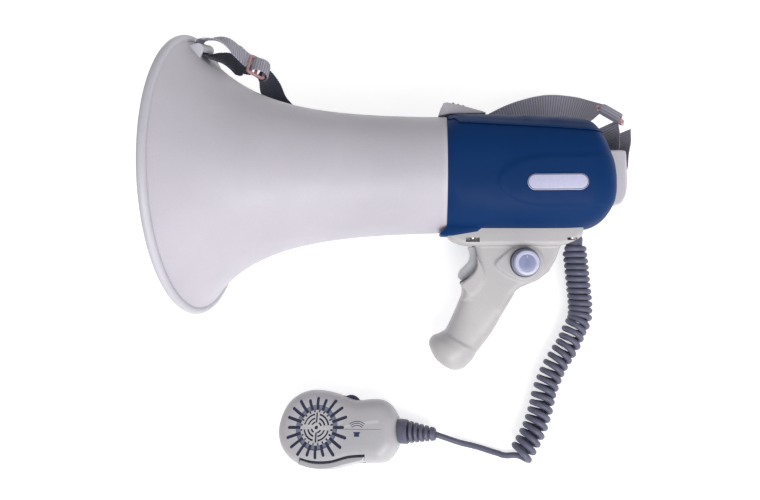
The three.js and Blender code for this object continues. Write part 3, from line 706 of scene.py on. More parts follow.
def horn_pieces():
    outer = horn_skin(0)
    bell = lathe([*outer, *reversed(horn_skin(-HORN_WALL)), outer[0]], 192)
    piece("bell", bell, HORN_WHITE, "megaphone", ["horn_bell"], sharp=60)
    bead = arc(0.6, RIM_RADIUS - RIM_BEAD, RIM_BEAD, 0, 360, 24)
    piece("rim_bead", lathe([*bead[:-1], bead[0]], 192), RIM_WHITE, "megaphone",
          ["bell_rim_guard"], sharp=80)
    cup_outer = through([(58, 0), (58.6, 9), (63, 17), (71, 24.5), (84, 30), (102, 33.5), (148, 36)], 8)
    cup_inner = through(
        [(148, 34), (102, 31.4), (85, 28), (73, 22.6), (65.5, 15.6), (63.8, 8), (68, 4.4), (78, 0)], 8
    )
    cup = lathe([tuple(p) for p in cup_outer + cup_inner], 96)
    piece("reflector", cup, HORN_WHITE, "megaphone", ["reflector_cup"])
    tube_outer = through([(95, 17.5), (125, 14.5), (165, 12), (199, 11.2)], 8)
    tube_inner = through([(206.6, 9), (165, 10), (125, 12.5), (95, 15.5)], 8)
    plate = [(199, 44), (203, 44), (203, 11), (206.6, 11)]
    tube = [tuple(p) for p in tube_outer] + plate + [tuple(p) for p in tube_inner]
    inner_horn = lathe([*tube, tube[0]], 96)
    piece("inner_horn", inner_horn, HORN_WHITE, "megaphone", ["tone_tube"])
    lug_outline = through(
        [(-7, -3), (-5, 2.4), (-3, 6.6), (0, 7.8), (3, 6.6), (5, 2.4), (7, -3), (0, -3.2)], 4, True
    )
    lug = cut(slab(lug_outline, -13.5, 13.5, 1.0), block((-20, 0.5, -10.9), (20, 4.4, 10.9)))
    lug.transform(Matrix.Translation((9, 101.6, 0)) @ Matrix.Rotation(math.radians(-51.5), 4, "Z"))
    skin_profile = [tuple(p) for p in horn_skin(0.1)]
    inside = lathe([(skin_profile[0][0], 0), *skin_profile, (HORN_LENGTH, 0)], 96)
    lug = cut(lug, inside)
    lug.transform(Matrix.Rotation(math.radians(14), 4, "X"))
    piece("strap_bracket", lug, RIM_WHITE, "megaphone", ["strap_lug_front"])


# ---- housing ----
# Sections across the housing: (x, top, bottom, half width, squareness).
HOUSING = [
    (HOUSING_FRONT, 48, -48.6, 47.8, 2.1), (213, 48.4, -47.4, 48, 2.4), (226, 48, -46.6, 48, 2.7),
    (287, 45.2, -46.5, 48, 2.8), (306, 43.8, -46.2, 47.5, 2.8), (317, 41.2, -45, 46.6, 2.8),
    (323, 36, -43, 45, 2.7), (328.5, 26.5, -39, 42, 2.6), (333, 13.5, -32.5, 37, 2.6),
    (335, 4, -28, 31, 2.5),
]
HOUSING_REAR = HOUSING[-1][0]
HOLLOW_REAR = 333
LID_FRONT = 208
LID_REAR = 324.6


def seam_height(x):
    """The height of the lid's lower edge, which steps down behind its front corner."""
    along = 36.6 - 0.078 * (x - HOUSING_FRONT)
    return 40.5 + (along - 40.5) * min(max((x - 213) / 3.8, 0), 1)


def panel_relief(x, y):
    """How far the side stands out for its long panel with a round front end."""
    across = (y + 9.25) / 19.25
    along = min((x - 283) / 40, 0)
    return 0.9 * smoothstep(0, 1.6, (1 - math.hypot(along, across)) * 19.25)


def section_ring(x, growth, count, relief=False):
    top, bottom, half, power = hermite(HOUSING, x)
    ring = []
    for angle in full_turn(count):
        c, s = math.cos(angle), math.sin(angle)
        y = (top + bottom) / 2 + ((top - bottom) / 2 + growth) * squared(s, power)
        z = (half + growth) * squared(c, power)
        if relief and abs(c) > 0.5:
            z += math.copysign(panel_relief(x, y), z)
        ring.append(Vector((x, y, z)))
    return ring


def stations(start, stop, gap):
    count = max(round((stop - start) / gap), 1)
    return [start + (stop - start) * i / count for i in range(count + 1)]


def housing_solid(growth, gap=1.2, count=240, relief=False, start=HOUSING_FRONT):
    return skin([section_ring(x, growth, count, relief) for x in stations(start, HOUSING_REAR, gap)])


def label_outline(growth):
    return pill(271.7, -10.8, 304, -10.8, 6 + growth, 16)


def housing_body():
    hollow = [section_ring(x, -HOUSING_WALL, 96) for x in stations(HOUSING_FRONT, HOLLOW_REAR, 4)]
    hollow.insert(0, [Vector((HOUSING_FRONT - 2, p.y, p.z)) for p in hollow[0]])
    seam = [(x, seam_height(x)) for x in (206, 213, 216.8, LID_REAR + 0.4)]
    opening = slab([*seam, (LID_REAR + 0.4, 90), (206, 90)], -60, 60)
    shell = cut(housing_solid(0, relief=True), skin(hollow), opening)
    lip = slab(
        [(201.6, -48.4), (208.5, -41), (238, -41), (231, -46.6), (212, -49.8), (203.4, -50)], -25, 25, 1.2
    )
    chin = cut(lip, lathe([(190, 0), (190, 47.4), (207.3, 46.8), (207.3, 0)], 96))
    piece("housing_chin", chin, HOUSING_BLUE, "megaphone")
    label_pocket = slab(label_outline(0.5), 47.2, 60)
    return cut(shell, label_pocket)


def lid_ring(x, count):
    """Across the lid: over its outside from edge to edge, round a lip that overhangs, and back inside."""
    seam = seam_height(x) + 0.4
    top, bottom, half, power = hermite(HOUSING, x)
    ring = []
    for growth, order in ((0.0, 1), (-HOUSING_WALL, -1)):
        middle = (top + bottom) / 2
        tall = (top - bottom) / 2 + growth
        wide = half + growth
        start = math.asin(min(max((seam - middle) / tall, 0), 1) ** (power / 2))
        arc_points = []
        for i in range(count + 1):
            angle = start + (math.pi - 2 * start) * i / count
            c, s = math.cos(angle), math.sin(angle)
            y = middle + tall * squared(s, power)
            z = wide * squared(c, power)
            flare = 1.1 * (1 - smoothstep(0, 5, y - seam)) if growth == 0 else 0
            arc_points.append(Vector((x, max(y, seam), z + math.copysign(flare, z))))
        ring += arc_points[::order]
    return ring


def lid_end(x, further_in, inset):
    """A ring at an end of the lid: the lid's section a step further in, with its top drawn down."""
    raised = seam_height(x) + 1.5
    return [Vector((x, p.y - inset * (p.y > raised), p.z)) for p in lid_ring(x + further_in, 120)]


def battery_lid():
    """The lid is skinned ring by ring, and its two ends close in a little so that they look rounded."""
    front = [lid_end(LID_FRONT, 1, 1.2), lid_end(LID_FRONT + 0.35, 1, 0.35)]
    middle = [lid_ring(x, 120) for x in stations(LID_FRONT + 1, LID_REAR - 1, 1.0)]
    rear = [lid_end(LID_REAR - 0.35, -0.5, 0.35), lid_end(LID_REAR, -0.5, 1.2)]
    return skin([*front, *middle, *rear])


def lid_latch():
    """The latch: a ramp with a rounded crest and a few grip ridges."""
    outline = [
        (200.6, 47.6), (202.4, 53), (205, 58), (208, 58.4), (221, 55.4), (236, 51), (239, 49.6),
        (236, 48.9), (210, 48.9),
    ]
    ridges = []
    for x in (212, 216, 220):
        drop = 0.28 * (x - 212)
        ridges.append(slab([(x, 58.6 - drop), (x + 1, 58.9 - drop), (x + 2, 58.0 - drop)], -7, 7))
    return merged(slab(outline, -10, 10, 1.4, 4), *ridges)


def rear_cap():
    """The block behind the housing: slotted for the webbing, with its two sides cut off at a slant."""
    outline = through(
        [(326, 15.5), (334, 16), (342, 15.9), (345.3, 13.4), (347.2, 2), (348.5, -10), (344.5, -18.6),
         (340.4, -25.5), (333, -27), (326, -25.5)],
        5, True,
    )
    slots = [block((340.8, 1, -11.5), (344.5, 20, 11.5)), block((340.8, -2.8, -11.5), (352, 2.6, 11.5))]
    for side in (1, -1):
        slant = [(343.4, side * 24.5), (350, side * 10.5), (353, side * 10.5), (353, side * 24.5)]
        wedge = slab(slant, -40, 40)
        wedge.transform(Matrix.Rotation(math.pi / 2, 4, "X"))
        slots.append(wedge)
    return cut(slab(outline, -24, 24, 3, 5), housing_solid(0.15, 3, 96, False, 300), *slots)


def housing_pieces():
    piece("housing", housing_body(), HOUSING_BLUE, "megaphone", ["rear_housing"],
          sharp=40)
    piece("lid", battery_lid(), HOUSING_BLUE, "battery_lid", ["battery_lid"], sharp=50)
    piece("latch", lid_latch(), HORN_WHITE, "lid_latch", ["lid_latch"])
    label = slab(label_outline(0), 47.0, 49.2, 0.3)
    piece("label", label, LABEL, "megaphone", ["name_plate"])
    border = cut(slab(label_outline(-0.35), 49.15, 49.26), slab(label_outline(-0.8), 49, 50))
    piece("label_border", border, INK, "megaphone")
    piece("tail_cap", rear_cap(), HORN_WHITE, "megaphone", ["rear_cap"])


# ---- grip ----
NECK = [
    (226, -50), (229.6, -57), (231.4, -63), (232.5, -70), (230, -78), (224, -84), (218.6, -88),
    (220.6, -92.4), (220.6, -97), (219.6, -101), (235, -108), (250.6, -113.5), (253.4, -108),
    (258.5, -97.2), (265.4, -91.2), (279.3, -85.2), (287.5, -78.6), (293, -69.2), (296.6, -59), (300, -50),
]
# Stations down the handle: (key, front x, front y, rear x, rear y, half width, squareness).
HANDLE = [
    (0, 229, -82, 262, -96, 17.5, 5), (1, 220.6, -97, 251.4, -113.8, 17.5, 4.6),
    (2, 213.8, -112.1, 243.5, -128.8, 17, 3), (3, 206.4, -127.2, 233.6, -142.6, 17.2, 2.3),
    (3.14, 204.6, -128, 233, -143.6, 18.7, 2.2), (3.4, 201.4, -129.8, 231.4, -146, 19.3, 2.1),
    (4, 196, -132, 228.6, -150.6, 20, 2.1), (5, 193, -138, 222, -157.4, 19.5, 2),
    (6, 197.4, -148.8, 215.4, -159.6, 13, 2), (7, 204, -155.2, 209.6, -158.6, 4, 2),
]
FLANGE = [
    (208, -40), (208.4, -49.6), (210, -52.2), (212.6, -54.2), (219, -57), (226, -57.8), (295, -57.8),
    (300, -56.6), (305, -54.6), (309.6, -52), (312.2, -49.4), (313, -46), (313, -40),
]
CHEEK = [
    (227, -60), (230.6, -66), (234.4, -72.4), (236.6, -79), (236, -84.6), (233.4, -89.4), (228.4, -95.2),
    (224.4, -96), (221.4, -92.4), (219.2, -88.6), (223.4, -84.8), (228.6, -80), (231.6, -74), (231, -67),
]
TEARDROP = [
    (245.4, -72), (250, -66.6), (256.4, -61.4), (263, -58.2), (270, -57), (277, -60), (281.6, -66),
    (282.6, -73), (279, -80), (272.6, -84.2), (265, -84.8), (256, -81.4), (249, -76.6),
]
SCREW_TOP = -51.3
# The screw pockets in the flange's two faces: (x, half width, lowest y).
SCREW_POCKETS = [(227.4, 5.4, -54.8), (304, 4, -53.4)]


def handle_ring(front_x, front_y, rear_x, rear_y, half, power):
    ring = []
    for angle in full_turn(72):
        along = (1 - squared(math.cos(angle), power)) / 2
        x = front_x + (rear_x - front_x) * along
        y = front_y + (rear_y - front_y) * along
        ring.append(Vector((x, y, half * squared(math.sin(angle), power))))
    return ring


def grip_solid():
    """The moulding: neck, handle, flange, cheeks and the knob's raised pad, grown into one."""
    neck = slab(NECK, -GRIP_HALF_WIDTH, GRIP_HALF_WIDTH, 5, 5)
    handle = skin([handle_ring(*hermite(HANDLE, key)) for key in stations(0, HANDLE[-1][0], 1 / 14)])
    flange = slab(FLANGE, -FLANGE_HALF_WIDTH, FLANGE_HALF_WIDTH, 3.4, 4)
    cheeks = [
        slab(through(CHEEK, 4, True), low, low + 9, 1.2)
        for low in (GRIP_HALF_WIDTH - 7.6, -GRIP_HALF_WIDTH - 1.4)
    ]
    pad = slab(through(TEARDROP, 4, True), 10, GRIP_HALF_WIDTH + 2, 0.8)
    moulding = fused([neck, handle, flange, *cheeks, pad], 0.75, 4)
    trigger_slot = block((200, -88.8, -9.3), (246, -58.2, 9.3))
    knob_well = upright([(16.4, 0), (16.4, 11.7), (30, 11.7), (30, 0)], *KNOB)
    pockets = []
    for x, half, low in SCREW_POCKETS:
        pockets.append(block((x - half, low, 18.4), (x + half, SCREW_TOP, 30)))
        pockets.append(block((x - half, low, -30), (x + half, SCREW_TOP, -18.4)))
    return cut(moulding, housing_solid(0.15, 3, 96), trigger_slot, knob_well, *pockets)


def screw(x, z):
    """A dome-headed screw with a cross recess, its head downwards in a pocket of the flange."""
    head = lathe([(0, 0), (0, 2.1), (0.9, 2), (1.5, 1.5), (1.8, 0)], 32)
    cross = [block((1.2, -1.4, -0.3), (3, 1.4, 0.3)), block((1.2, -0.3, -1.4), (3, 0.3, 1.4))]
    head = cut(head, *cross)
    head.transform(Matrix.Translation((x, SCREW_TOP, z)) @ Matrix.Rotation(-math.pi / 2, 4, "Z"))
    return head


def grip_pieces():
    moulding = grip_solid()
    near = common(moulding, block((150, -200, 0.12), (400, 0, 60)))
    far = common(moulding, block((150, -200, -60), (400, 0, -0.12)))
    piece("grip_near", near, GRIP_WHITE, "megaphone", ["grip_shell_near"], sharp=50)
    piece("grip_far", far, GRIP_WHITE, "megaphone", ["grip_shell_far"], sharp=50)
    screw_places = [(x, z) for z in (21.4, -21.4) for x, _, _ in SCREW_POCKETS]
    for i, (x, z) in enumerate(screw_places):
        piece(f"flange_screw_{i + 1}", screw(x, z), STEEL, "megaphone", [f"grip_screw_{i + 1}"])
    outline = through(
        [(225.4, -59), (226.8, -64.4), (225.6, -70.6), (222, -74.6), (218.4, -78.4), (217, -82.6),
         (218.6, -85.2), (223, -84.2), (231, -79), (238, -70), (241, -60.5), (239, -58.7), (232, -58.4)],
        4, True,
    )
    lever = slab(outline, -8.6, 8.6, 1.8, 5)
    piece("trigger_lever", lever, TRIGGER_WHITE, "trigger", ["trigger"])
    ring = slab(knurled(KNOB, 10.9, 40), 17.0, 25.0, 0.7)
    piece("knob_ring", ring, KNOB_DARK, "volume_knob", ["volume_ring"])
    cap = [(25.0, 0), (25.0, 9.6), (30.2, 9.5), (31, 9.1), (31.3, 8.3), (31.2, 7), (30.8, 6.6), (30.6, 0)]
    piece("knob_cap", upright(cap, *KNOB), KNOB_CAP, "volume_knob", ["volume_cap"])
    insert = [(30.5, 0), (30.5, 6.4), (30.9, 6.3), (31, 5.8), (30.9, 0)]
    piece("knob_insert", upright(insert, *KNOB), KNOB_INSERT, "volume_knob")
    pointer = block((KNOB[0] - 0.25, KNOB[1] + 3.8, 30.9), (KNOB[0] + 0.25, KNOB[1] + 5.6, 31.02))
    piece("knob_pointer", pointer, KNOB_CAP, "volume_knob")
    collar = lathe([(-58.6, 3), (-58.6, 5.4), (-57.8, 6.4), (-52, 6.8), (-50, 6), (-50, 3), (-58.6, 3)], 48)
    collar.transform(Matrix.Translation((310.5, 0, 0)) @ Matrix.Rotation(math.pi / 2, 4, "Z"))
    piece("gland", collar, CORD_GREY, "megaphone", ["cord_gland"])


# ---- strap: stations are x, y, z, the direction of the webbing's width, and a tone that paints light and shade on it, low where shade is painted ----
# the front loop's lower leg has tone 0: painted shade under the slide
FRONT_LOOP = [
    (42.5, 93.6, -8, 0, -0.68, 0.74, 0), (38.4, 94, -7.4, -0.1, -0.65, 0.75, 0),
    (33.6, 94.6, -6, -0.2, -0.6, 0.8, 0), (30, 95.6, -1, -0.15, -0.6, 0.75, 0),
    (26.1, 95.4, 8, -0.1, -0.5, 0.85, 0), (19, 94, 22.4, 0, -0.26, 0.96, 0),
    (13.2, 96.9, 24.2, 0, -0.24, 0.97, 0.1), (10.7, 99.9, 24.9, 0, -0.24, 0.97, 0.5),
    (8.4, 103, 25.7, 0, -0.24, 0.97, 0.9), (9.4, 106.8, 26.6, 0, -0.24, 0.97, 0.9),
    (13.5, 108.2, 26.7, 0, -0.24, 0.97, 0.9), (21.9, 109.7, 20, -0.04, -0.34, 0.93, 0.95),
    (28.8, 108.4, 13, -0.06, -0.5, 0.86, 0.95), (35, 103.6, 5, 0, -0.64, 0.76, 0.95),
    (38.4, 101.4, -1.6, 0.02, -0.72, 0.69, 0.95), (43.2, 97.6, -4.6, 0.03, -0.74, 0.67, 0.9),
]
# the main strap's tone paints shade: 0 at its front end, which lies in shade behind the horn, rising to 1
# at the rear
MAIN_STRAP = [
    (49.6, 91.6, -7.4, 0.1, 0.74, -0.66, 0), (52, 88.4, -10, 0.3, 0.55, -0.75, 0),
    (55, 80, -21, 0.75, 0.4, -0.5, 0), (58.5, 69.4, -39.5, 0.95, 0.3, -0.1, 0),
    (80, 52, -58, 0.9, 0.45, 0, 0), (120, 38, -64, 0.3, 0.95, 0, 0), (170, 32, -64, 0, 1, 0.1, 0.3),
    (220, 38, -60, -0.2, 0.95, 0.3, 0.5), (246, 51, -56, -0.35, 0.9, 0.35, 0.7),
    (270, 62, -54, -0.15, 0.9, 0.4, 1), (296, 68, -53, 0.05, 0.9, 0.4, 1),
    (318, 65.5, -49, 0.25, 0.85, 0.3, 1), (331, 58.6, -37, 0.5, 0.75, 0.3, 0.9),
    (336.5, 54, -22, 0.75, 0.6, 0, 0.8),
]
REAR_LOOP = [
    (338, 41, -6, 0.75, -0.45, 0.4, 0.5), (341, 32, -5, 0.5, -0.3, 0.8, 0.5),
    (342.6, 22, -2, 0.2, 0, 0.95, 0.4), (342.8, 12, 0, 0, 0, 1, 0.4), (342.9, 4, 0, 0, 0, 1, 0.4),
    (344.4, 0.4, 0, 0, 0, 1, 0.4), (347.4, 0.2, 0, 0, 0, 1, 0.4), (349.6, 3.6, 0, 0, 0, 1, 0.4),
    (350.4, 12, -1, 0.05, 0, 0.98, 0.5), (350, 24, -4, 0.4, -0.2, 0.85, 0.6),
    (348.4, 34, -6, 0.6, -0.4, 0.6, 0.6),
]


def webbing(route, width=WEBBING_WIDTH, per_rib=6):
    """Ribbed webbing along its stations: every rib stands out on both faces and a little at the edges."""
    line = through(route, 40)
    centres = [Vector(p[:3]) for p in line]
    walked = [0.0]
    for a, b in zip(centres, centres[1:]):
        walked.append(walked[-1] + (b - a).length)
    count = round(walked[-1] / RIB_PITCH) * per_rib
    rings, ribs, crosses, painted_light_levels = [], [], [], []
    j = 0
    for i in range(count + 1):
        goal = walked[-1] * i / count
        while j < len(walked) - 2 and walked[j + 1] < goal:
            j += 1
        t = (goal - walked[j]) / (walked[j + 1] - walked[j])
        here = [a + (b - a) * t for a, b in zip(line[j], line[j + 1])]
        along = (centres[j + 1] - centres[j]).normalized()
        across = Vector(here[3:6])
        across = (across - along * across.dot(along)).normalized()
        out = across.cross(along)
        rib = 0.5 - 0.5 * math.cos(2 * math.pi * i / per_rib)
        half = width / 2 - 0.35 + 0.35 * rib
        thick = WEBBING_THICKNESS / 2 - 0.3 + 0.3 * rib
        ring = []
        for side in (1, -1):
            for k in range(10):
                share = side * (1 - 2 * k / 9)
                edge = 1 - abs(share) ** 8 * 0.55
                ring.append(Vector(here[:3]) + across * half * share + out * thick * side * edge)
                ribs.append(rib)
                crosses.append(share)
                # the station's tone: painted light and shade, carried to the material
                painted_light_levels.append(here[6])
        rings.append(ring)
    mesh = skin(rings)
    for name, values in (("rib", ribs), ("across", crosses), ("tone", painted_light_levels)):
        layer = mesh.attributes.new(name, "FLOAT", "POINT")
        layer.data.foreach_set("value", values + [values[0], values[-1]])
    return mesh, walked[-1]


def slide_place(centre, bars, strap):
    """Where a slide stands: its bars along its own x, and the webbing running along its own y."""
    x = Vector(bars).normalized()
    y = Vector(strap)
    y = (y - x * y.dot(x)).normalized()
    turn = Matrix((x, y, x.cross(y))).transposed().to_4x4()
    return Matrix.Translation(centre) @ turn


def slide_buckle():
    """A three-bar slide: a round-cornered frame of soft section, and the bar across its middle."""
    path = []
    for x, y, start in ((9.4, 4.9, 90), (9.4, -4.9, 0), (-9.4, -4.9, -90), (-9.4, 4.9, 180)):
        path += [(px, py, 0) for px, py in arc(x, y, 2.2, start, start - 90, 8)]
    line, _ = evenly([*path, path[0]], 0.8)
    outside = rod(line[:-1], 1.35, 14, True)
    middle = slab([(-11.6, -1.3), (11.6, -1.3), (11.6, 1.3), (-11.6, 1.3)], -0.9, 0.9, 0.5)
    return merged(outside, middle)


def hump():
    """The webbing where it comes up through a slide, bulges over it and goes down at its end."""
    # the last number of each station is painted light and shade: darker where the webbing goes down at the
    # slide's end
    route = [
        (0, -4.2, -1.6, 1, 0, 0, 0.9), (0, -3.2, 1.4, 1, 0, 0, 0.9), (0, -0.4, 3.4, 1, 0, 0, 0.95),
        (0, 4, 4.4, 1, 0, 0, 1), (0, 8, 3.5, 1, 0, 0, 0.95), (0, 10.3, 1, 1, 0, 0, 0.8),
        (0, 10.4, -2, 1, 0, 0, 0.5), (0, 8.6, -4.2, 1, 0, 0, 0.4),
    ]
    return webbing(route, 17.6)[0]


def strap_pieces():
    lengths = {}
    for name, route, node in (
        ("front_webbing", FRONT_LOOP, "strap_front_loop"),
        ("main_webbing", MAIN_STRAP, "strap_main"),
        ("rear_webbing", REAR_LOOP, "strap_rear_loop"),
    ):
        mesh, lengths[name] = webbing(route)
        piece(name, mesh, WEBBING, "megaphone", [node], sharp=60)
    print("webbing lengths, mm:", {name: round(length) for name, length in lengths.items()})
    front = slide_place((47.6, 94.4, -4), (0.03, -0.76, 0.65), (0.68, -0.73, 0))
    rear = slide_place((341.5, 49.1, -8), (0.78, -0.57, 0.25), (-0.2, -0.05, 1))
    turned_over = rear @ Matrix.Rotation(math.pi, 4, "Y")
    for end, place, over in (("front", front, front), ("rear", rear, turned_over)):
        piece(f"{end}_slide", slide_buckle(), BUCKLE, "megaphone", [f"slide_buckle_{end}"],
              HORN @ place, 50)
        piece(f"{end}_slide_webbing", hump(), WEBBING, "megaphone", (), HORN @ over, 60)


# ---- microphone ----
MIC_OUTLINE = [
    (0, 0), (2.4, 13), (9, 24.5), (19, 31.4), (31, 34), (45, 32.4), (58, 28.6), (70, 25), (81, 25.6),
    (90, 25.2), (96.6, 22), (101.8, 15.4), (105, 7), (105, -8), (101.4, -17), (93.6, -24.2), (80, -25.4),
    (65, -26.8), (49.7, -30.6), (35.2, -31), (22, -28.2), (11, -22.2), (3, -12.4),
]
# How far the outline is drawn in at each height: (height, inset).
MIC_ROUNDING = [
    (0, 5), (1.5, 2.6), (5, 0.8), (11, 0), (16, 0.2), (20.5, 1.6), (24, 4.6), (26.2, 9), (27, 14),
]
LONG, MIDDLE, SHORT = 26.4, 23.6, 22.8
RAYS = [SHORT, LONG, LONG, LONG, SHORT, MIDDLE, SHORT, LONG, LONG, LONG, MIDDLE + 0.8]


def mic_ring(outline, z, inset):
    ring = []
    for x, y in outline:
        inward = (Vector((min(max(x, 34), 80), 0)) - Vector((x, y))).normalized()
        ring.append(Vector((x + inward.x * inset, y + inward.y * inset, z)))
    return ring


def mic_solid():
    outline = through(MIC_OUTLINE, 8, True)
    return skin([mic_ring(outline, z, inset) for z, inset in through(MIC_ROUNDING, 5)])


def talk_bar_outline(end=0.0, out=0.0, inner=0.0):
    """The talk bar from above, or the space round it, longer at its ends, further out or further in."""
    outer_edge = [(22 - end, -27.6), (35.2, -30.6), (49.7, -30.2), (65, -26.4), (77 + end, -23.8)]
    inner_edge = [(79 + end, -21), (65, -22.2), (49.5, -26.2), (35, -26.6), (24 - end, -24)]
    outer_line = [(x, y - out) for x, y in through(outer_edge, 6)]
    return outer_line + [(x, y + inner) for x, y in through(inner_edge, 6)]


def polar_bar(radius_in, radius_out, angle, half):
    """A bar with round ends that points away from the grille's centre."""
    way_x, way_y = math.cos(math.radians(angle)), math.sin(math.radians(angle))
    x, y = MIC_GRILLE
    start = (x + radius_in * way_x, y + radius_in * way_y)
    return pill(*start, x + radius_out * way_x, y + radius_out * way_y, half, 6)


def bent_bar(radius, start, stop, width, centre=MIC_GRILLE):
    outside = arc(*centre, radius + width / 2, start, stop, 14)
    return outside + arc(*centre, radius - width / 2, stop, start, 14)


def grille_pieces():
    """The face of the microphone: a disc pierced by arcs, in a ring crossed by rays."""
    holes = [upright([(25, 0), (25, 1.6), (29, 1.6), (29, 0)], *MIC_GRILLE, 32)]
    for quarter in range(4):
        for radius, first, last in ((10.6, 9, 77), (7.3, 11, 73), (4.3, 14, 62)):
            holes.append(slab(bent_bar(radius, 90 * quarter + first, 90 * quarter + last, 1.5), 25, 29))
    for angle in (90, 270):
        holes.append(slab(polar_bar(4.4, 11.4, angle, 0.75), 25, 29))
    for i in range(20):
        holes.append(slab(polar_bar(12.9, 15.5, 18 * i + 9, 0.75), 25, 29))
    face = [(26.0, 0), (26.0, 14.2), (27.0, 14.2), (27.3, 13.9), (27.4, 13.2), (27.55, 0)]
    disc = upright(face, *MIC_GRILLE)
    piece("mic_disc", cut(disc, merged(*holes)), MIC_WHITE, "megaphone", ["mic_grille"], MIC)
    backing = upright([(25.4, 0), (25.4, 13.8), (25.95, 13.8), (25.95, 0)], *MIC_GRILLE)
    piece("mic_backing", backing, MIC_NAVY, "megaphone", (), MIC)
    ring = upright([(24.9, 13.9), (24.9, 18.05), (26.0, 18.05), (26.0, 13.9), (24.9, 13.9)], *MIC_GRILLE)
    piece("mic_ring", ring, MIC_GREY, "megaphone", ["mic_grille_ring"], MIC)
    rays = [slab(polar_bar(15.2, reach, angle, 1.1), 25.0, 26.3, 0.1) for angle, reach in ray_places()]
    piece("mic_rays", merged(*rays), MIC_NAVY, "megaphone", (), MIC)


def ray_places():
    """(angle, outer end) of each ray round the grille, alike above and below its middle."""
    above = [(18 * i, reach) for i, reach in enumerate(RAYS)]
    return above + [(-angle, reach) for angle, reach in above[1:-1]]


def mic_pieces():
    body = mic_solid()
    pocket = slab(talk_bar_outline(0.8, 8, 4.0), 5.4, 19.2)
    bar_gap = slab(talk_bar_outline(0.8, 8, 2.0), 19, 30)
    wheel_pocket = upright([(11.2, 0), (11.2, 9), (18.8, 9), (18.8, 0)], *MIC_WHEEL[:2])
    face_well = upright([(24.7, 0), (24.7, 18.3), (30, 18.3), (30, 0)], *MIC_GRILLE)
    slots = [slab(polar_bar(17, reach, angle, 1.3), 25.2, 30) for angle, reach in ray_places()]
    groove = block((62, -0.28, 26.55), (101, 0.28, 30))
    body = cut(body, pocket, bar_gap, wheel_pocket, face_well, merged(*slots), groove)
    seam = 0.2
    front = common(body, block((-20, -60, MIC_SPLIT + seam), (130, 60, 60)))
    back = common(body, block((-20, -60, -10), (130, 60, MIC_SPLIT - seam)))
    piece("mic_front", front, MIC_WHITE, "megaphone", ["mic_front_shell"], MIC, 40)
    piece("mic_back", back, MIC_WHITE, "megaphone", ["mic_back_shell"], MIC, 40)
    bar = slab(talk_bar_outline(), 6, 23.5, 2.4, 6)
    piece("mic_bar", bar, MIC_WHITE, "mic_talk_bar", ["mic_talk_bar"], MIC)
    # painted shade: this grey-blue strip stands in the groove beside the talk bar, where shade falls
    shoulder = slab(talk_bar_outline(0.3, -1, 1.8), 15.5, 18.6)
    piece("mic_bar_groove_shade", shoulder, MIC_GREY, "mic_talk_bar", (), MIC)
    wheel = slab(knurled(MIC_WHEEL, 7.9, 32), 11.8, 18.2, 0.6)
    piece("mic_wheel", wheel, MIC_NAVY, "mic_thumbwheel", ["mic_thumbwheel"], MIC)
    grille_pieces()
    marks = [slab(bent_bar(radius, 52, 128, 0.55, (73, -4.2)), 26.9, 27.06) for radius in (10.4, 8.8, 7.2)]
    speaker = [(70, -2.2), (76, -2.2), (75, -4), (75.2, -5.8), (70.8, -5.8), (71, -4)]
    marks.append(slab(speaker, 26.9, 27.06))
    piece("mic_marks", merged(*marks), INK, "megaphone", (), MIC)


# ---- the microphone's strain relief: a collar and five ribs on the cord ----
BOOT_AXIS = [(105.4, 0, 13), (111, -0.4, 12.8), (117, -0.8, 12.2), (125, -1.4, 11.2), (134.8, -2.05, 9.9)]


def boot_profile():
    """(x, radius) pairs from the microphone to the cord."""
    pairs = [(105.4, 9.6), (106, 9.9), (111.6, 9.7), (112.4, 9.0)]
    core = 3.2
    for i, start in enumerate((114.0, 118.1, 122.2, 126.3)):
        radius = 8.6 - 0.75 * i
        pairs += [(start - 1.5, core), (start - 0.1, core), (start, radius - 0.4), (start + 0.4, radius)]
        pairs += [(start + 2.1, radius - 0.2), (start + 2.5, radius - 0.6)]
    pairs += [(128.9, core), (130.1, core), (130.3, 5.2), (130.8, 5.7), (133.2, 5.2), (134.4, 4.2)]
    return [*pairs, (134.8, 2.6)]


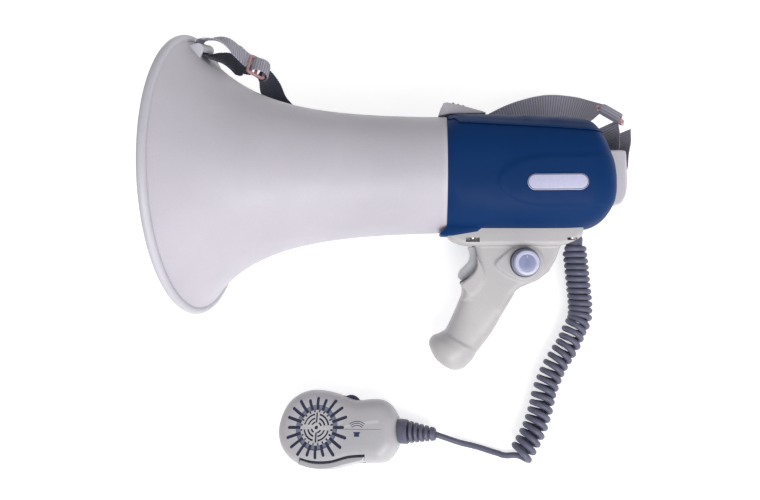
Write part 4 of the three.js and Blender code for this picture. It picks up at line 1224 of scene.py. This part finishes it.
def strain_relief():
    rings = []
    for x, radius in boot_profile():
        y, z = hermite(BOOT_AXIS, x)
        rings.append([(x, y + radius * math.cos(a), z + radius * math.sin(a)) for a in full_turn(48)])
    piece("mic_boot", skin(rings), CORD_GREY, "megaphone", ["mic_strain_relief"], MIC, 30)


# ---- what is inside ----
CELL_PLACES = [(20, -13.2), (20, 13.2), (-6.4, -26.6), (-6.4, 0), (-6.4, 26.6)]


def cell_pieces():
    """C cells: a printed sleeve rolled over the ends, a steel shoulder and a nub."""
    for i, (y, z) in enumerate(CELL_PLACES):
        sleeve = [(246.2, 11), (246.2, 12.4), (246.7, 12.9), (292.2, 12.9), (292.8, 12.4), (292.8, 11)]
        sleeve.append(sleeve[0])
        can = [(246.4, 0), (246.4, 11.2), (292.4, 11.2), (292.4, 3.2), (294.6, 3.0), (295, 2.6), (295, 0)]
        for name, profile, look, nodes in (
            (f"cell_can_{i + 1}", can, STEEL, [f"cell_{i + 1}"]), (f"cell_sleeve_{i + 1}", sleeve, CELL, ())
        ):
            mesh = lathe(profile, 64)
            mesh.transform(Matrix.Translation((0, y, z)))
            piece(name, mesh, look, "megaphone", nodes)


INSIDE = {
    "reflector_stay_1": HORN_WHITE, "reflector_stay_2": HORN_WHITE, "reflector_stay_3": HORN_WHITE,
    "driver_frame": BLACK, "driver_diaphragm": STEEL, "driver_magnet": MAGNET, "lid_hinge_pin": STEEL,
    "battery_tray": BLACK, "amplifier_board": BOARD, "output_transformer": STEEL, "trigger_pivot": STEEL,
    "trigger_switch": BLACK, "trigger_spring": STEEL, "volume_shaft": STEEL, "volume_potentiometer": STEEL,
    "mic_talk_switch": BLACK, "mic_talk_spring": STEEL, "mic_capsule": STEEL, "mic_board": BOARD,
}


def dress_inside():
    """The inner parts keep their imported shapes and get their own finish."""
    for name, material in INSIDE.items():
        node = frame["nodes"][name]
        node.data.materials.clear()
        node.data.materials.append(material)


horn_pieces()
housing_pieces()
grip_pieces()
strap_pieces()
mic_pieces()
strain_relief()
cell_pieces()
dress_inside()
